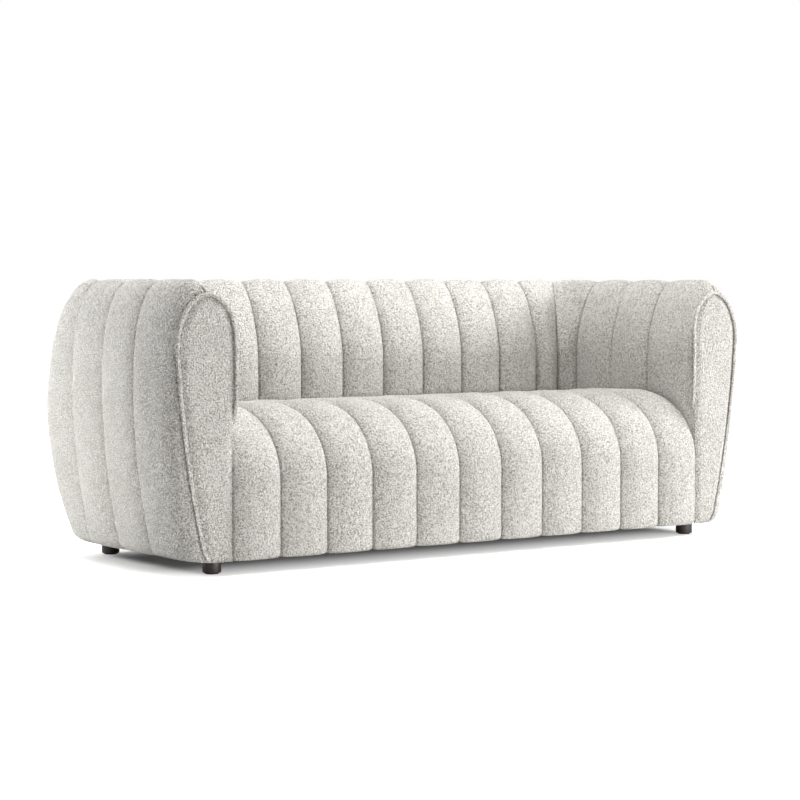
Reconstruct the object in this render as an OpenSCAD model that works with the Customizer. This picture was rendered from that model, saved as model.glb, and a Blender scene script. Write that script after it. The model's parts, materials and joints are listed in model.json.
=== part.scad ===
// A low sofa whose arms and back are one height, covered in vertical channels.
// The floor is at zero height, the front faces -Y, and the origin is under the middle of the sofa.

/* [Overall] */
// Width of one channel of the seat and the back, seam to seam
channel_w = 146; // [135:1:160]
// Number of channels across the seat and the back
channel_count = 11; // [9:1:13]
// Thickness of an arm, from its inside seams to its outside seams
arm_w = 169; // [160:1:195]
// Thickness of the back, from its inside seams to its outside seams
back_w = 181; // [170:1:215]
// Distance from the front seams to the inside seams of the back
seat_d = 572; // [545:1:620]
// Height of the seams on top of the arms and the back
body_h = 750; // [725:1:800]
// Height of the seams on top of the seat
seat_h = 408; // [395:1:425]
// Height of the covers' lower edge over the floor
skirt_h = 36.5; // [32:0.5:45]

/* [Channels] */
// Distance from the front seam to the first seam of an arm
arm_first_w = 207; // [180:1:220]
// Width of an arm channel, seam to seam
arm_channel_w = 166; // [150:1:170]
// How far a seat channel stands over its seams, on top
seat_puff = 24; // [5:1:30]
// How far a seat channel stands over its seams, in front
front_puff = 26; // [5:1:34]
// How far a back channel stands over its seams, inside
back_puff = 34; // [5:1:40]
// How far an arm channel stands over its seams, inside
arm_puff = 15; // [5:1:25]
// How far the channels stand over their seams outside
outer_puff = 16; // [3:1:20]
// How far the channels stand over their seams on top of the arms and the back
top_puff = 12; // [3:1:20]
// Thickness of the quilted covers under their seams
pad_t = 30; // [20:1:34]

/* [Curves] */
// Radius of the rear corners, seen from above
corner_r = 120; // [100:1:130]
// How far the outside leans in between its widest height and its lower edge
lean = 55; // [30:1:60]
// Height of the roll from the inside face to the top
inner_roll_h = 210; // [180:1:240]
// Height of the roll from the top to the outside face
outer_roll_h = 270; // [230:1:300]
// Depth of the seat's rolled front edge
edge_roll_d = 200; // [150:1:220]
// Height of the seat's rolled front edge
edge_roll_h = 172; // [150:1:190]
// Depth of the roll from an arm's sides and top to its front seam
front_roll = 65; // [50:1:80]
// How far the front seam lies inside an arm's outside face
front_drop_side = 6; // [3:1:14]
// How far the front seam lies under an arm's top
front_drop_top = 26; // [20:1:36]
// How far the front seam lies inside an arm's outside face at the lower edge
front_drop_foot = 36; // [20:1:40]
// How far the front seam stands past an arm's inside seams, over the seat
front_lap = 10; // [6:1:13]
// Height of the front seam's arch on the inside of an arm
front_arch_in = 117; // [100:1:140]
// Height of the front seam's arch on the outside of an arm
front_arch_out = 137; // [115:1:160]

/* [Frame] */
// Thickness of the plywood ribs and front boards
rib_t = 18; // [15:1:24]
// Height of the bearers that the feet are screwed to
bearer_h = 40; // [32:1:50]
// Thickness of the front rail and the seat springs' rear rail
rail_t = 25; // [20:1:30]
// Number of seat springs
spring_count = 9; // [7:1:11]
// Thickness of the spring wire
wire_t = 4; // [3:0.5:5]

/* [Feet] */
// Diameter of a foot
foot_dia = 49; // [40:1:60]
// Distance from the arm's inside seams out to the middle of a foot
foot_side = 22; // [10:1:30]
// Distance from the front seams back to the middle of a front foot
foot_front = 66; // [60:1:90]
// Distance from the inside seams of the back to the middle of a rear foot
foot_rear = 37; // [20:1:45]
// Thickness of the glide under a foot
glide_t = 3; // [2:0.5:5]

/* [Hidden] */

// Gap between pieces that lie on each other, and running gap round screws and dowels
clearance = 0.3;
bore_gap = 0.1;
overrun = 10;

// Places that follow from the sizes above
seat_w = channel_w * channel_count;
inner_x = seat_w / 2;
body_d = seat_d + back_w;
front_y = (front_puff - outer_puff - body_d) / 2;
corner_x = inner_x + arm_w - corner_r;
corner_d = body_d - corner_r;
arc_len = corner_r * PI / 2;

// Shape of the rolls: higher is squarer
inner_square = 1.6;
outer_square = 2.4;
roll_growth = 0.75;
lean_growth = 1.2;
skirt_tuck = 26;
seat_tuck = 10;
tuck_h = 40;
side_gap = 2;
front_drop_inside = 2;
front_square_in = 2;
front_square_out = 1.9;
front_top_share = 0.44;
front_lap_z = 50;
front_lap_h = 70;
arm_middle_count = 2;
corner_in = 56;

// Where the rows of a cover lie, as shares of each roll's quarter turn or of each drop
inner_turn_share = [0, 0.3, 0.55, 0.8, 1];
outer_turn_share = [0.75, 0.5, 0.25, 0];
wall_share = [0.3, 0.6];
lower_share = [0.35, 0.7, 0.94];
channel_share = [0.14, 0.5, 0.86, 1];
corner_share = [0.1, 0.3, 0.5, 0.7, 0.9, 1];
front_turn_share = [0, 0.12, 0.4, 1];
first_channel_share = [0.68, 0.86, 1];
edge_turn_share = [1, 0.75, 0.5, 0.28, 0.1, 0];
edge_lower_share = [0.5, 0.9];
tucked_puff_share = 0.4;
tucked_pad_share = 0.5;

// Frame pieces
dust_t = 1.5;
skirt_inset = 10;
dust_z = skirt_h + skirt_inset;
base_z = dust_z + dust_t + clearance;
base_top = base_z + bearer_h;
board_t = pad_t - clearance;
board_drop = 8;
frame_a = pad_t + clearance;
bearer_in = 15;
bearer_out = 52;
rail_gap = 3;
rail_d = pad_t + rail_gap;
bearer_over = 62;
bearer_end = seat_d + bearer_over;
rear_bearer_in = 7;
rear_bearer_d = seat_d - rear_bearer_in;
rear_bearer_w = 68;
stretcher_w = 60;
stretcher_gap = 540;
spring_rail_h = 60;
lining_t = 2.3;
lining_share = [0.06, 0.35];
strap_share = [[0.06, 0.2], [0.24, 0.38]];
top_rail_drop = 116;
top_rail_z = body_h - top_rail_drop;
top_rail_h = 22;
top_rail_w = 48;
top_rail_a = 64;
outer_rail_share = 0.565;
outer_rail_h = 40;
outer_rail_w = 18;
outer_rail_a = 56;
arm_rib_share = 0.54;
post_w = 30;
post_d = 42;
post_h = top_rail_z - clearance;
post_x = inner_x + frame_a + post_w;
post_y = seat_d + frame_a + post_d;
former_gap = 22;
former_share = [0.3, 0.6];
block_leg = 60;
block_share = [0.1, 0.9];
screw_d = 5;
screw_head_d = 9;
screw_head_t = 3;
screw_len = 45;
screw_inset = 24;
dowel_d = 10;
dowel_len = 36;
dowel_share = [0.2, 0.7];

// Springs and the layers over them
clip_t = 3;
clip_w = 20;
clip_l = 18;
spring_w = 50;
spring_turns = 12;
tie_d = 2.8;
deck_t = 2;
foam_t = 118;
foam_z = seat_h - pad_t - foam_t;
deck_z = foam_z - clearance - deck_t;
spring_z = deck_z - clearance - wire_t;
rail_top = spring_z - clearance - clip_t;
tie_place_share = [0.33, 0.66];

// Front panels and their welts
panel_t = 6;
welt_w = 12;
welt_t = 8;

// Feet and their fixings
foot_bevel = 3;
bolt_d = 8;
bolt_in_foot = 22;
tnut_flange_d = 22;
tnut_flange_t = 2;
tnut_barrel_d = 10;
tnut_barrel_l = 12;
glide_dia = 36;
nail_d = 3;
nail_len = 12;
foot_x = inner_x + foot_side;
foot_y = [front_y + foot_front, front_y + seat_d + foot_rear];
foot_fn = 48;
fixing_fn = 16;

// How full a channel is at a share of its width, and how far the front roll has dropped
function puff_at(u) = sqrt(max(0, 1 - pow(2 * u - 1, 2)));
function roll_at(u) = 1 - sqrt(max(0, 1 - pow(1 - u, 2)));
function rounded(v, square) = pow(max(v, 0), 2 / square);
function mix(a, b, t) = a + (b - a) * t;

// Heights in the frame that keep their place between two others
outer_rail_z = mix(skirt_h, body_h, outer_rail_share);
block_z = mix(base_top, rail_top - spring_rail_h, block_share[0]);
block_h = mix(base_top, rail_top - spring_rail_h, block_share[1]) - block_z;

// Height of the seat's seams at a depth, where the covers of the arms and the back meet the seat
function edge_z(d) = seat_h - edge_roll_h * roll_at(min(1, d / edge_roll_d));

// One row of an arm or back cover that is w thick: place across and up, outward direction
// across and up, how much it puffs, and its place across and up at an arm's front seam.
// Where a cover is thicker, round the rear corners, its outside rolls and leans more.
function roll_h(w) = outer_roll_h * pow(w / arm_w, roll_growth);
function lean_at(w, t) = lean * pow(w / arm_w, lean_growth) * t * t;
function front_inside(z) = mix(front_drop_inside, -front_lap,
  max(0, min(1, (z - seat_h + front_lap_z) / front_lap_h)));
function wall_row(z, puff) = [0, z, -1, 0, puff, front_inside(z), z];
function inner_row(t, puff, w) = let (turn = 90 * t, front_top = arm_w * front_top_share)
  [(1 - rounded(cos(turn), inner_square)) * w / 2,
   body_h - inner_roll_h * (1 - rounded(sin(turn), inner_square)),
   -cos(turn), sin(turn), mix(puff, top_puff, t),
   mix(front_top, -front_lap, rounded(cos(turn), front_square_in)),
   body_h - front_drop_top - front_arch_in * (1 - rounded(sin(turn), front_square_in))];
function outer_row(t, w) = let (turn = 90 * t, front_top = arm_w * front_top_share)
  [(1 + rounded(cos(turn), outer_square)) * w / 2,
   body_h - roll_h(w) * (1 - rounded(sin(turn), outer_square)),
   cos(turn), sin(turn), mix(outer_puff, top_puff, t),
   mix(front_top, arm_w - front_drop_side, rounded(cos(turn), front_square_out)),
   body_h - front_drop_top - front_arch_out * (1 - rounded(sin(turn), front_square_out))];
function lower_row(t, w, tuck, puff) =
  [w - lean_at(w, t) - tuck, mix(body_h - roll_h(w), skirt_h, t), 1, 0, puff,
   arm_w - lean_at(arm_w, t) - tuck - mix(front_drop_side, front_drop_foot, t),
   mix(body_h - front_drop_top - front_arch_out, skirt_h, t)];
function wrap_rows(puff, d, w) = concat(
  [wall_row(edge_z(d) + clearance, 0), wall_row(edge_z(d) + tuck_h, puff)],
  [for (t = wall_share) wall_row(mix(edge_z(d) + tuck_h, body_h - inner_roll_h, t), puff)],
  [for (t = inner_turn_share) inner_row(t, puff, w)],
  [for (t = outer_turn_share) outer_row(t, w)],
  [for (t = lower_share) lower_row(t, w, 0, outer_puff)],
  [lower_row(1, w, skirt_tuck, outer_puff * tucked_puff_share)]);

// A row's place across and up, puffed and drawn to the front seam by shares
function row_point(row, puffed, dropped, inset) = let (out = row[4] * puffed)
  [mix(row[0] + row[2] * out, row[5], dropped)
     - row[2] * inset * (row[1] > skirt_h ? 1 : tucked_pad_share),
   mix(row[1] + row[3] * out, row[6], dropped) - row[3] * inset];
function every_other(rows) = let (last = len(rows) - 1)
  concat([for (i = [0:2:last]) rows[i]], last % 2 == 1 ? [rows[last]] : []);
function backwards(list) = [for (i = [len(list) - 1:-1:0]) list[i]];

// A point of the outside seams, at a distance along them from the front of the arm
function outline_point(s) =
  s <= corner_d ? [inner_x + arm_w, s]
  : s <= corner_d + arc_len
    ? let (turn = (s - corner_d) / corner_r * 180 / PI)
      [corner_x + corner_r * cos(turn), corner_d + corner_r * sin(turn)]
  : [corner_x - (s - corner_d - arc_len), body_d];

// A station of a cover: its inside and outside place from above, its puff and its front drop
function arm_last() = arm_first_w + arm_middle_count * arm_channel_w;
function corner_end() = corner_d + arc_len;
function arm_stations() = concat(
  [for (t = front_turn_share)
    [[inner_x, front_roll * t], [inner_x + arm_w, front_roll * t], 1 - roll_at(t), roll_at(t)]],
  [for (t = first_channel_share) let (d = arm_first_w * t)
    [[inner_x, d], [inner_x + arm_w, d], puff_at(max(t, 1 / 2)), 0]],
  [for (i = [0:arm_middle_count - 1]) for (t = channel_share)
    let (d = arm_first_w + (i + t) * arm_channel_w)
    [[inner_x, d], [inner_x + arm_w, d], puff_at(t), 0]]);
function gusset_stations() =
  let (from = [inner_x, arm_last()], to = [inner_x - corner_in, seat_d],
       gap_in = clearance / norm(to - from), gap_out = clearance / (corner_end() - arm_last()))
  [for (t = concat([0], corner_share))
    [mix(from, to, mix(gap_in, 1 - gap_in, t)),
     outline_point(mix(arm_last(), corner_end(), mix(gap_out, 1 - gap_out, t))), puff_at(t), 0]];
function back_end_stations() = let (end = corner_end() + corner_x - inner_x + channel_w)
  [for (t = concat([0], channel_share))
    [[inner_x - mix(corner_in, channel_w, t), seat_d], outline_point(mix(corner_end(), end, t)),
     puff_at(t), 0]];
function mirrored(stations) =
  [for (p = backwards(stations)) [[-p[0][0], p[0][1]], [-p[1][0], p[1][1]], p[2], p[3]]];
function back_stations() = concat(
  back_end_stations(),
  [for (i = [1:channel_count - 2]) for (t = channel_share) let (x = inner_x - (i + t) * channel_w)
    [[x, seat_d], [x, body_d], puff_at(t), 0]],
  [for (p = mirrored(back_end_stations())) if (p[0][0] < channel_w - inner_x) p]);

// The closed loop of points of a cover at one station
function place_3d(p, inside, along) =
  [inside[0] + along[0] * p[0], front_y + inside[1] + along[1] * p[0], p[1]];
function wrap_ring(station, puff) =
  let (span = station[1] - station[0], w = norm(span), along = span / w,
       rows = wrap_rows(puff, station[0][1], w))
  concat(
    [for (row = rows) place_3d(row_point(row, station[2], station[3], 0), station[0], along)],
    [for (row = backwards(every_other(rows)))
      place_3d(row_point(row, 0, station[3], pad_t), station[0], along)]);

// Triangles between rings of equal size, and over the loop at either end
function side_faces(rings, size) =
  [for (j = [0:rings - 2]) for (k = [0:size - 1])
    let (a = j * size + k, b = j * size + (k + 1) % size)
    each [[a, a + size, b], [b, a + size, b + size]]];
function back_index(i, rows, size) = size - 1 - round(i / 2);
function cap_faces(first, rows, size) =
  [for (i = [0:rows - 2])
    let (a = back_index(i, rows, size), b = back_index(i + 1, rows, size))
    each a == b
      ? [[first + i, first + i + 1, first + a]]
      : [[first + i, first + i + 1, first + b], [first + i, first + b, first + a]]];
function flipped(faces) = [for (f = faces) [f[0], f[2], f[1]]];

module swept_cover(rings, rows) {
  size = len(rings[0]);
  last = (len(rings) - 1) * size;
  polyhedron(
    points = [for (ring = rings) each ring],
    faces = concat(flipped(side_faces(len(rings), size)), flipped(cap_faces(0, rows, size)),
                   cap_faces(last, rows, size)));
}

module wrap_cover(stations, puff) {
  swept_cover([for (station = stations) wrap_ring(station, puff)], len(wrap_rows(puff, seat_d, arm_w)));
}

// Flat shapes drawn across an arm or the back and up, stood in their place
module across_arm(d, t) {
  translate([inner_x, front_y + d + t, 0]) rotate([90, 0, 0]) linear_extrude(t) children();
}
module across_back(x, t) {
  translate([x - t / 2, front_y + seat_d, 0]) rotate([90, 0, 90]) linear_extrude(t) children();
}

// A box between two corners, with depths counted from the front seams
module block(from, to) {
  translate([from[0], front_y + from[1], from[2]]) cube(to - from);
}

// Soft covers

// One row of the seat: depth, height, forward and upward direction, puff
function seat_rows() = concat(
  [[seat_d - clearance, seat_h, 0, 1, 0], [arm_last() - clearance, seat_h, 0, 1, 0],
   [arm_last() - tuck_h, seat_h, 0, 1, seat_puff],
   [mix(edge_roll_d, arm_last() - tuck_h, 1 / 2), seat_h, 0, 1, seat_puff]],
  [for (t = edge_turn_share) let (turn = 90 * t)
    [edge_roll_d * (1 - cos(turn)), seat_h - edge_roll_h * (1 - sin(turn)), -cos(turn), sin(turn),
     mix(front_puff, seat_puff, t)]],
  [for (t = edge_lower_share) [0, mix(seat_h - edge_roll_h, skirt_h, t), -1, 0, front_puff]],
  [[seat_tuck, skirt_h, -1, 0, front_puff * tucked_puff_share]]);
function seat_point(row, puffed, inset) = let (out = row[4] * puffed - inset)
  [row[0] + row[2] * out, row[1] + row[3] * out];
function seat_backing(row, inset) = row[2] == -1 ? [inset, row[1]] : seat_point(row, 0, inset);
function seat_ring(x, puffed) = concat(
  [for (row = seat_rows()) let (p = seat_point(row, puffed, 0)) [x, front_y + p[0], p[1]]],
  [for (row = backwards(every_other(seat_rows())))
    let (p = seat_backing(row, pad_t)) [x, front_y + p[0], p[1]]]);

module seat_panel() {
  half_w = inner_x - side_gap;
  color("ivory")
    swept_cover(concat(
      [seat_ring(half_w, 0)],
      [for (i = [0:channel_count - 1]) for (t = channel_share)
        seat_ring(max(-half_w, inner_x - (i + t) * channel_w), puff_at(t))]),
      len(seat_rows()));
}

module back_cover() {
  color("ivory") wrap_cover(backwards(back_stations()), back_puff);
}

module right_arm_cover() {
  color("ivory") wrap_cover(backwards(arm_stations()), arm_puff);
}
module left_arm_cover() {
  mirror([1, 0, 0]) right_arm_cover();
}

// The gusset is the channel that fans out round a rear corner, from the arm's last seam
module right_corner_gusset() {
  color("ivory") wrap_cover(backwards(gusset_stations()), arm_puff);
}
module left_corner_gusset() {
  mirror([1, 0, 0]) right_corner_gusset();
}

// Outline of an arm's front seam, moved in by inset
module front_outline(inset, foot_z) {
  points = [for (row = wrap_rows(0, 0, arm_w)) row_point(row, 0, 1, inset)];
  polygon(concat([[points[0][0], foot_z]], points));
}
module right_front_panel() {
  color("ivory")
    across_arm(-panel_t, panel_t - clearance)
      front_outline(welt_w + clearance, skirt_h);
}
module left_front_panel() {
  mirror([1, 0, 0]) right_front_panel();
}
module right_front_welt() {
  color("linen")
    across_arm(-welt_t, welt_t - clearance)
      difference() {
        front_outline(0, skirt_h);
        front_outline(welt_w, skirt_h);
        translate([-overrun, skirt_h - overrun]) square([arm_w, overrun + clearance]);
      }
}
module left_front_welt() {
  mirror([1, 0, 0]) right_front_welt();
}

// Seat filling and suspension

module seat_foam_core() {
  half_w = inner_x - clearance;
  outline = [for (row = every_other(seat_rows())) seat_backing(row, pad_t + clearance)];
  color("khaki")
    translate([-half_w, front_y, 0]) rotate([90, 0, 90]) linear_extrude(2 * half_w)
      difference() {
        polygon(concat(outline, [[seat_d - clearance, skirt_h]]));
        translate([-overrun, 0]) square([seat_d + 2 * overrun, foam_z]);
      }
}

module deck_cloth() {
  color("darkgray")
    block([-inner_x + clearance, rail_d + clearance, deck_z],
          [inner_x - clearance, seat_d - clearance, deck_z + deck_t]);
}

function spring_x(i) = (i - (spring_count - 1) / 2) * seat_w / (spring_count + 1);
spring_from = rail_d + wire_t;
spring_to = seat_d - rail_gap - wire_t;
spring_step = (spring_to - spring_from) / spring_turns;

module sinuous_spring() {
  linear_extrude(wire_t) {
    for (i = [0:spring_turns])
      translate([-spring_w / 2, spring_from + i * spring_step]) square([spring_w, wire_t]);
    for (i = [0:spring_turns - 1])
      translate([i % 2 == 0 ? spring_w / 2 - wire_t : -spring_w / 2, spring_from + i * spring_step])
        square([wire_t, spring_step]);
  }
}
module seat_springs() {
  color("silver")
    for (i = [0:spring_count - 1])
      translate([spring_x(i), front_y, spring_z]) sinuous_spring();
}

spring_rail_d = seat_d - rail_gap - rail_t;
module spring_clips() {
  color("gray")
    for (i = [0:spring_count - 1]) for (d = [spring_from, spring_to - clip_l + wire_t])
      translate([spring_x(i) - clip_w / 2, front_y + d, rail_top + clearance])
        cube([clip_w, clip_l, clip_t - clearance]);
}
module spring_ties() {
  color("silver")
    for (t = tie_place_share)
      translate([0, front_y + mix(spring_from, spring_to, t), spring_z - clearance - tie_d / 2])
        rotate([0, 90, 0])
          cylinder(d = tie_d, h = seat_w - 2 * clearance, center = true, $fn = fixing_fn);
}

// Base frame

module foot_places() {
  for (side = [-1, 1]) for (y = foot_y) translate([side * foot_x, y, 0]) children();
}

module right_bearer() {
  color("burlywood")
    difference() {
      block([inner_x - bearer_in, rail_d - rail_gap + clearance, base_z],
            [inner_x + bearer_out, bearer_end, base_top]);
      foot_places() {
        translate([0, 0, base_z - overrun])
          cylinder(d = bolt_d + 2 * bore_gap, h = bearer_h + 2 * overrun, $fn = fixing_fn);
        translate([0, 0, base_top - tnut_flange_t - tnut_barrel_l - bore_gap])
          cylinder(d = tnut_barrel_d + 2 * bore_gap, h = bearer_h, $fn = fixing_fn);
        translate([0, 0, base_top - tnut_flange_t - bore_gap])
          cylinder(d = tnut_flange_d + 2 * bore_gap, h = bearer_h, $fn = fixing_fn);
      }
    }
}
module left_bearer() {
  mirror([1, 0, 0]) right_bearer();
}

module rear_bearer() {
  half_w = inner_x - bearer_in - clearance;
  color("burlywood")
    block([-half_w, rear_bearer_d, base_z], [half_w, rear_bearer_d + rear_bearer_w, base_top]);
}

module centre_stretchers() {
  color("burlywood")
    for (side = [-1, 1])
      translate([side * stretcher_gap / 2, 0, 0])
        block([-stretcher_w / 2, rail_d + rail_t + clearance, base_z],
              [stretcher_w / 2, rear_bearer_d - clearance, base_top]);
}

// Holes for the dowels and screws that join the seat frame

module dowel_holes(gap) {
  for (side = [-1, 1]) for (t = dowel_share)
    for (d = [rail_d + rail_t / 2, seat_d + board_t / 2])
      translate([side * inner_x, front_y + d, mix(base_top, rail_top, t)]) rotate([0, 90, 0])
        cylinder(d = dowel_d + 2 * gap, h = dowel_len + 2 * gap, center = true, $fn = fixing_fn);
}

// A corner block's screws: one through it into the rail, one into the side board
module corner_places() {
  for (side = [0, 1]) mirror([side, 0, 0]) {
    translate([inner_x - clearance, front_y + rail_d + rail_t + clearance, block_z]) children();
    translate([inner_x - clearance, front_y + seat_d - clearance, block_z])
      mirror([0, 1, 0]) children();
  }
}
module one_screw(gap) {
  cylinder(d = screw_d + 2 * gap, h = screw_len + gap, $fn = fixing_fn);
  translate([0, 0, -screw_head_t - (gap > 0 ? block_leg : 0)])
    cylinder(d = screw_head_d + 2 * gap, h = screw_head_t + (gap > 0 ? block_leg : 0), $fn = fixing_fn);
}
module corner_screw_set(gap) {
  corner_places() {
    translate([-screw_inset, block_leg / 2, block_h * 2 / 3]) rotate([90, 0, 0])
      one_screw(gap);
    translate([-block_leg / 2, screw_inset, block_h / 3]) rotate([0, 90, 0])
      one_screw(gap);
  }
}

module corner_blocks() {
  color("tan")
    difference() {
      corner_places()
        linear_extrude(block_h) polygon([[0, 0], [-block_leg, 0], [0, block_leg]]);
      corner_screw_set(bore_gap);
    }
}
module corner_screws() {
  color("gray") corner_screw_set(0);
}
module rail_dowels() {
  color("wheat") dowel_holes(0);
}

module front_rail() {
  half_w = inner_x - clearance;
  color("burlywood")
    difference() {
      block([-half_w, rail_d, base_z], [half_w, rail_d + rail_t, rail_top]);
      for (side = [-1, 1])
        translate([side * inner_x, 0, 0])
          block([-bearer_in - clearance, 0, base_z - overrun],
                [bearer_in + clearance, rail_d + rail_t + overrun, base_top + clearance]);
      dowel_holes(bore_gap);
      corner_screw_set(bore_gap);
    }
}

module rear_seat_board() {
  half_w = inner_x - clearance;
  color("burlywood")
    difference() {
      block([-half_w, seat_d + clearance / 2, base_top + clearance],
            [half_w, seat_d + board_t, seat_h]);
      dowel_holes(bore_gap);
      corner_screw_set(bore_gap);
    }
}

module right_side_board() {
  color("burlywood")
    difference() {
      translate([inner_x, front_y, 0]) rotate([90, 0, 90]) linear_extrude(board_t)
        polygon(concat(
          [[pad_t, base_z], [pad_t, base_top + clearance], [seat_d + board_t, base_top + clearance],
           [seat_d + board_t, seat_h]],
          [for (p = backwards(arm_stations())) [max(clearance, p[0][1]), edge_z(p[0][1])]],
          [[clearance, base_z]]));
      dowel_holes(bore_gap);
      corner_screw_set(bore_gap);
    }
}
module left_side_board() {
  mirror([1, 0, 0]) right_side_board();
}

module rear_spring_rail() {
  half_w = inner_x - clearance;
  color("burlywood")
    block([-half_w, spring_rail_d, rail_top - spring_rail_h], [half_w, spring_rail_d + rail_t, rail_top]);
}

// Arm and back frames

// Outline of the space inside a cover w thick, above the base, at a share of the front drop
module inside_outline(w, dropped, foot_z) {
  points = [for (row = every_other(wrap_rows(0, seat_d * (1 - dropped), w)))
    row_point(row, 0, dropped, frame_a)];
  difference() {
    polygon(concat([[frame_a, 0]], points));
    translate([0, -overrun]) square([w, foot_z + overrun]);
  }
}
module rail_slots(w, gap) {
  translate([top_rail_a - gap, top_rail_z - gap])
    square([top_rail_w + 2 * gap, top_rail_h + 2 * gap]);
  translate([w - pad_t - outer_rail_a + outer_rail_w - gap, outer_rail_z - gap])
    square([outer_rail_w + 2 * gap, outer_rail_h + 2 * gap]);
}
// A sheet bent over the ribs' inside edges, between two shares of the height over the seat
module lining_band(w, low, high, t) {
  difference() {
    translate([0, mix(seat_h, body_h, low)]) square([w / 2, mix(seat_h, body_h, high - low) - seat_h]);
    translate([t, 0]) inside_outline(w, 0, base_top);
    translate([-pad_t - overrun, 0]) difference() {
      square([w, body_h]);
      translate([pad_t + overrun, 0]) inside_outline(w, 0, base_top);
    }
  }
}
module rib_outline(w) {
  difference() {
    inside_outline(w, 0, base_top + clearance);
    lining_band(w, lining_share[0], max(lining_share[1], strap_share[1][1]), lining_t + clearance);
    rail_slots(w, bore_gap);
  }
}

module right_front_board() {
  color("burlywood") across_arm(clearance, rib_t) intersection_for (drop = [0, board_drop])
    intersection_for (dropped = [0, 1])
      translate([-drop, -drop]) inside_outline(arm_w, dropped, base_z);
}
module left_front_board() {
  mirror([1, 0, 0]) right_front_board();
}

module right_arm_ribs() {
  color("burlywood")
    for (d = [arm_rear_d * arm_rib_share, arm_rear_d]) across_arm(d, rib_t) rib_outline(arm_w);
}
module left_arm_ribs() {
  mirror([1, 0, 0]) right_arm_ribs();
}

arm_rail_d = rib_t + 2 * clearance;
arm_rear_d = arm_last() - rib_t - clearance;
back_rail_d = seat_d + top_rail_a;
module right_arm_top_rail() {
  color("burlywood")
    block([inner_x + top_rail_a, arm_rail_d, top_rail_z],
          [inner_x + top_rail_a + top_rail_w, back_rail_d - clearance, top_rail_z + top_rail_h]);
}
module left_arm_top_rail() {
  mirror([1, 0, 0]) right_arm_top_rail();
}
module right_arm_outer_rail() {
  a = arm_w - pad_t - outer_rail_a + outer_rail_w;
  color("burlywood")
    block([inner_x + a, arm_rail_d, outer_rail_z],
          [inner_x + a + outer_rail_w, arm_rear_d + rib_t, outer_rail_z + outer_rail_h]);
}
module left_arm_outer_rail() {
  mirror([1, 0, 0]) right_arm_outer_rail();
}

module right_arm_lining() {
  color("peru")
    across_arm(front_roll, arm_rear_d + rib_t - front_roll)
      lining_band(arm_w, lining_share[0], lining_share[1], lining_t);
}
module left_arm_lining() {
  mirror([1, 0, 0]) right_arm_lining();
}

back_bays = 4;
back_rib_gap = channel_w * (channel_count - 2) / back_bays;
module back_ribs() {
  color("burlywood")
    for (i = [-back_bays / 2:back_bays / 2]) across_back(i * back_rib_gap, rib_t) rib_outline(back_w);
}
module back_top_rail() {
  half_w = corner_x + corner_r / 4;
  color("burlywood")
    block([-half_w, back_rail_d, top_rail_z],
          [half_w, back_rail_d + top_rail_w, top_rail_z + top_rail_h]);
}
module back_outer_rail() {
  half_w = (back_bays * back_rib_gap + rib_t) / 2;
  d = seat_d + back_w - pad_t - outer_rail_a + outer_rail_w;
  color("burlywood")
    block([-half_w, d, outer_rail_z], [half_w, d + outer_rail_w, outer_rail_z + outer_rail_h]);
}
module back_webbing() {
  color("black")
    for (share = strap_share)
      across_back(0, back_bays * back_rib_gap + rib_t) lining_band(back_w, share[0], share[1], lining_t);
}

module right_corner_post() {
  color("burlywood")
    block([post_x - post_w, post_y - post_d, base_top + clearance], [post_x, post_y, post_h]);
}
module left_corner_post() {
  mirror([1, 0, 0]) right_corner_post();
}

// Each former is a rounded corner that fits round the post, inside the covers at its height
function former_r(z) = arm_w - frame_a - post_w - pad_t - former_gap
  - lean * pow(max(0, body_h - outer_roll_h - z) / (body_h - outer_roll_h - skirt_h), 2);
module right_corner_formers() {
  color("burlywood")
    for (t = former_share) let (z = mix(skirt_h, body_h, t), r = former_r(z))
      translate([post_x, front_y + post_y, z]) linear_extrude(rib_t) difference() {
        union() {
          circle(r = r, $fn = foot_fn);
          translate([0, -post_d]) square([r, post_d]);
          translate([-post_w, 0]) square([post_w, r]);
        }
        translate([-corner_r, -corner_r]) square([corner_r + clearance, corner_r + clearance]);
        translate([-corner_r, -corner_r - post_d]) square([2 * corner_r, corner_r]);
        translate([-corner_r - post_w, -corner_r]) square([corner_r, 2 * corner_r]);
      }
}
module left_corner_formers() {
  mirror([1, 0, 0]) right_corner_formers();
}

// Underside and feet

module dust_cover() {
  half_w = inner_x + bearer_out - clearance;
  color("dimgray")
    difference() {
      block([-half_w, rail_d, dust_z], [half_w, bearer_end - clearance, dust_z + dust_t]);
      foot_places() translate([0, 0, dust_z - overrun])
        cylinder(d = bolt_d + 2 * clearance, h = dust_t + 2 * overrun, $fn = fixing_fn);
    }
}

foot_top = dust_z - clearance;
module foot(side, y) {
  r = foot_dia / 2;
  color("black")
    translate([side * foot_x, y, 0]) difference() {
      rotate_extrude($fn = foot_fn)
        polygon([[0, glide_t], [r - foot_bevel, glide_t], [r, glide_t + foot_bevel],
                 [r, foot_top], [0, foot_top]]);
      translate([0, 0, foot_top - bolt_in_foot - bore_gap])
        cylinder(d = bolt_d + 2 * bore_gap, h = foot_top, $fn = fixing_fn);
      translate([0, 0, -overrun])
        cylinder(d = nail_d + 2 * bore_gap, h = overrun + nail_len + bore_gap, $fn = fixing_fn);
    }
}
module front_left_foot() {
  foot(-1, foot_y[0]);
}
module front_right_foot() {
  foot(1, foot_y[0]);
}
module rear_left_foot() {
  foot(-1, foot_y[1]);
}
module rear_right_foot() {
  foot(1, foot_y[1]);
}

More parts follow.
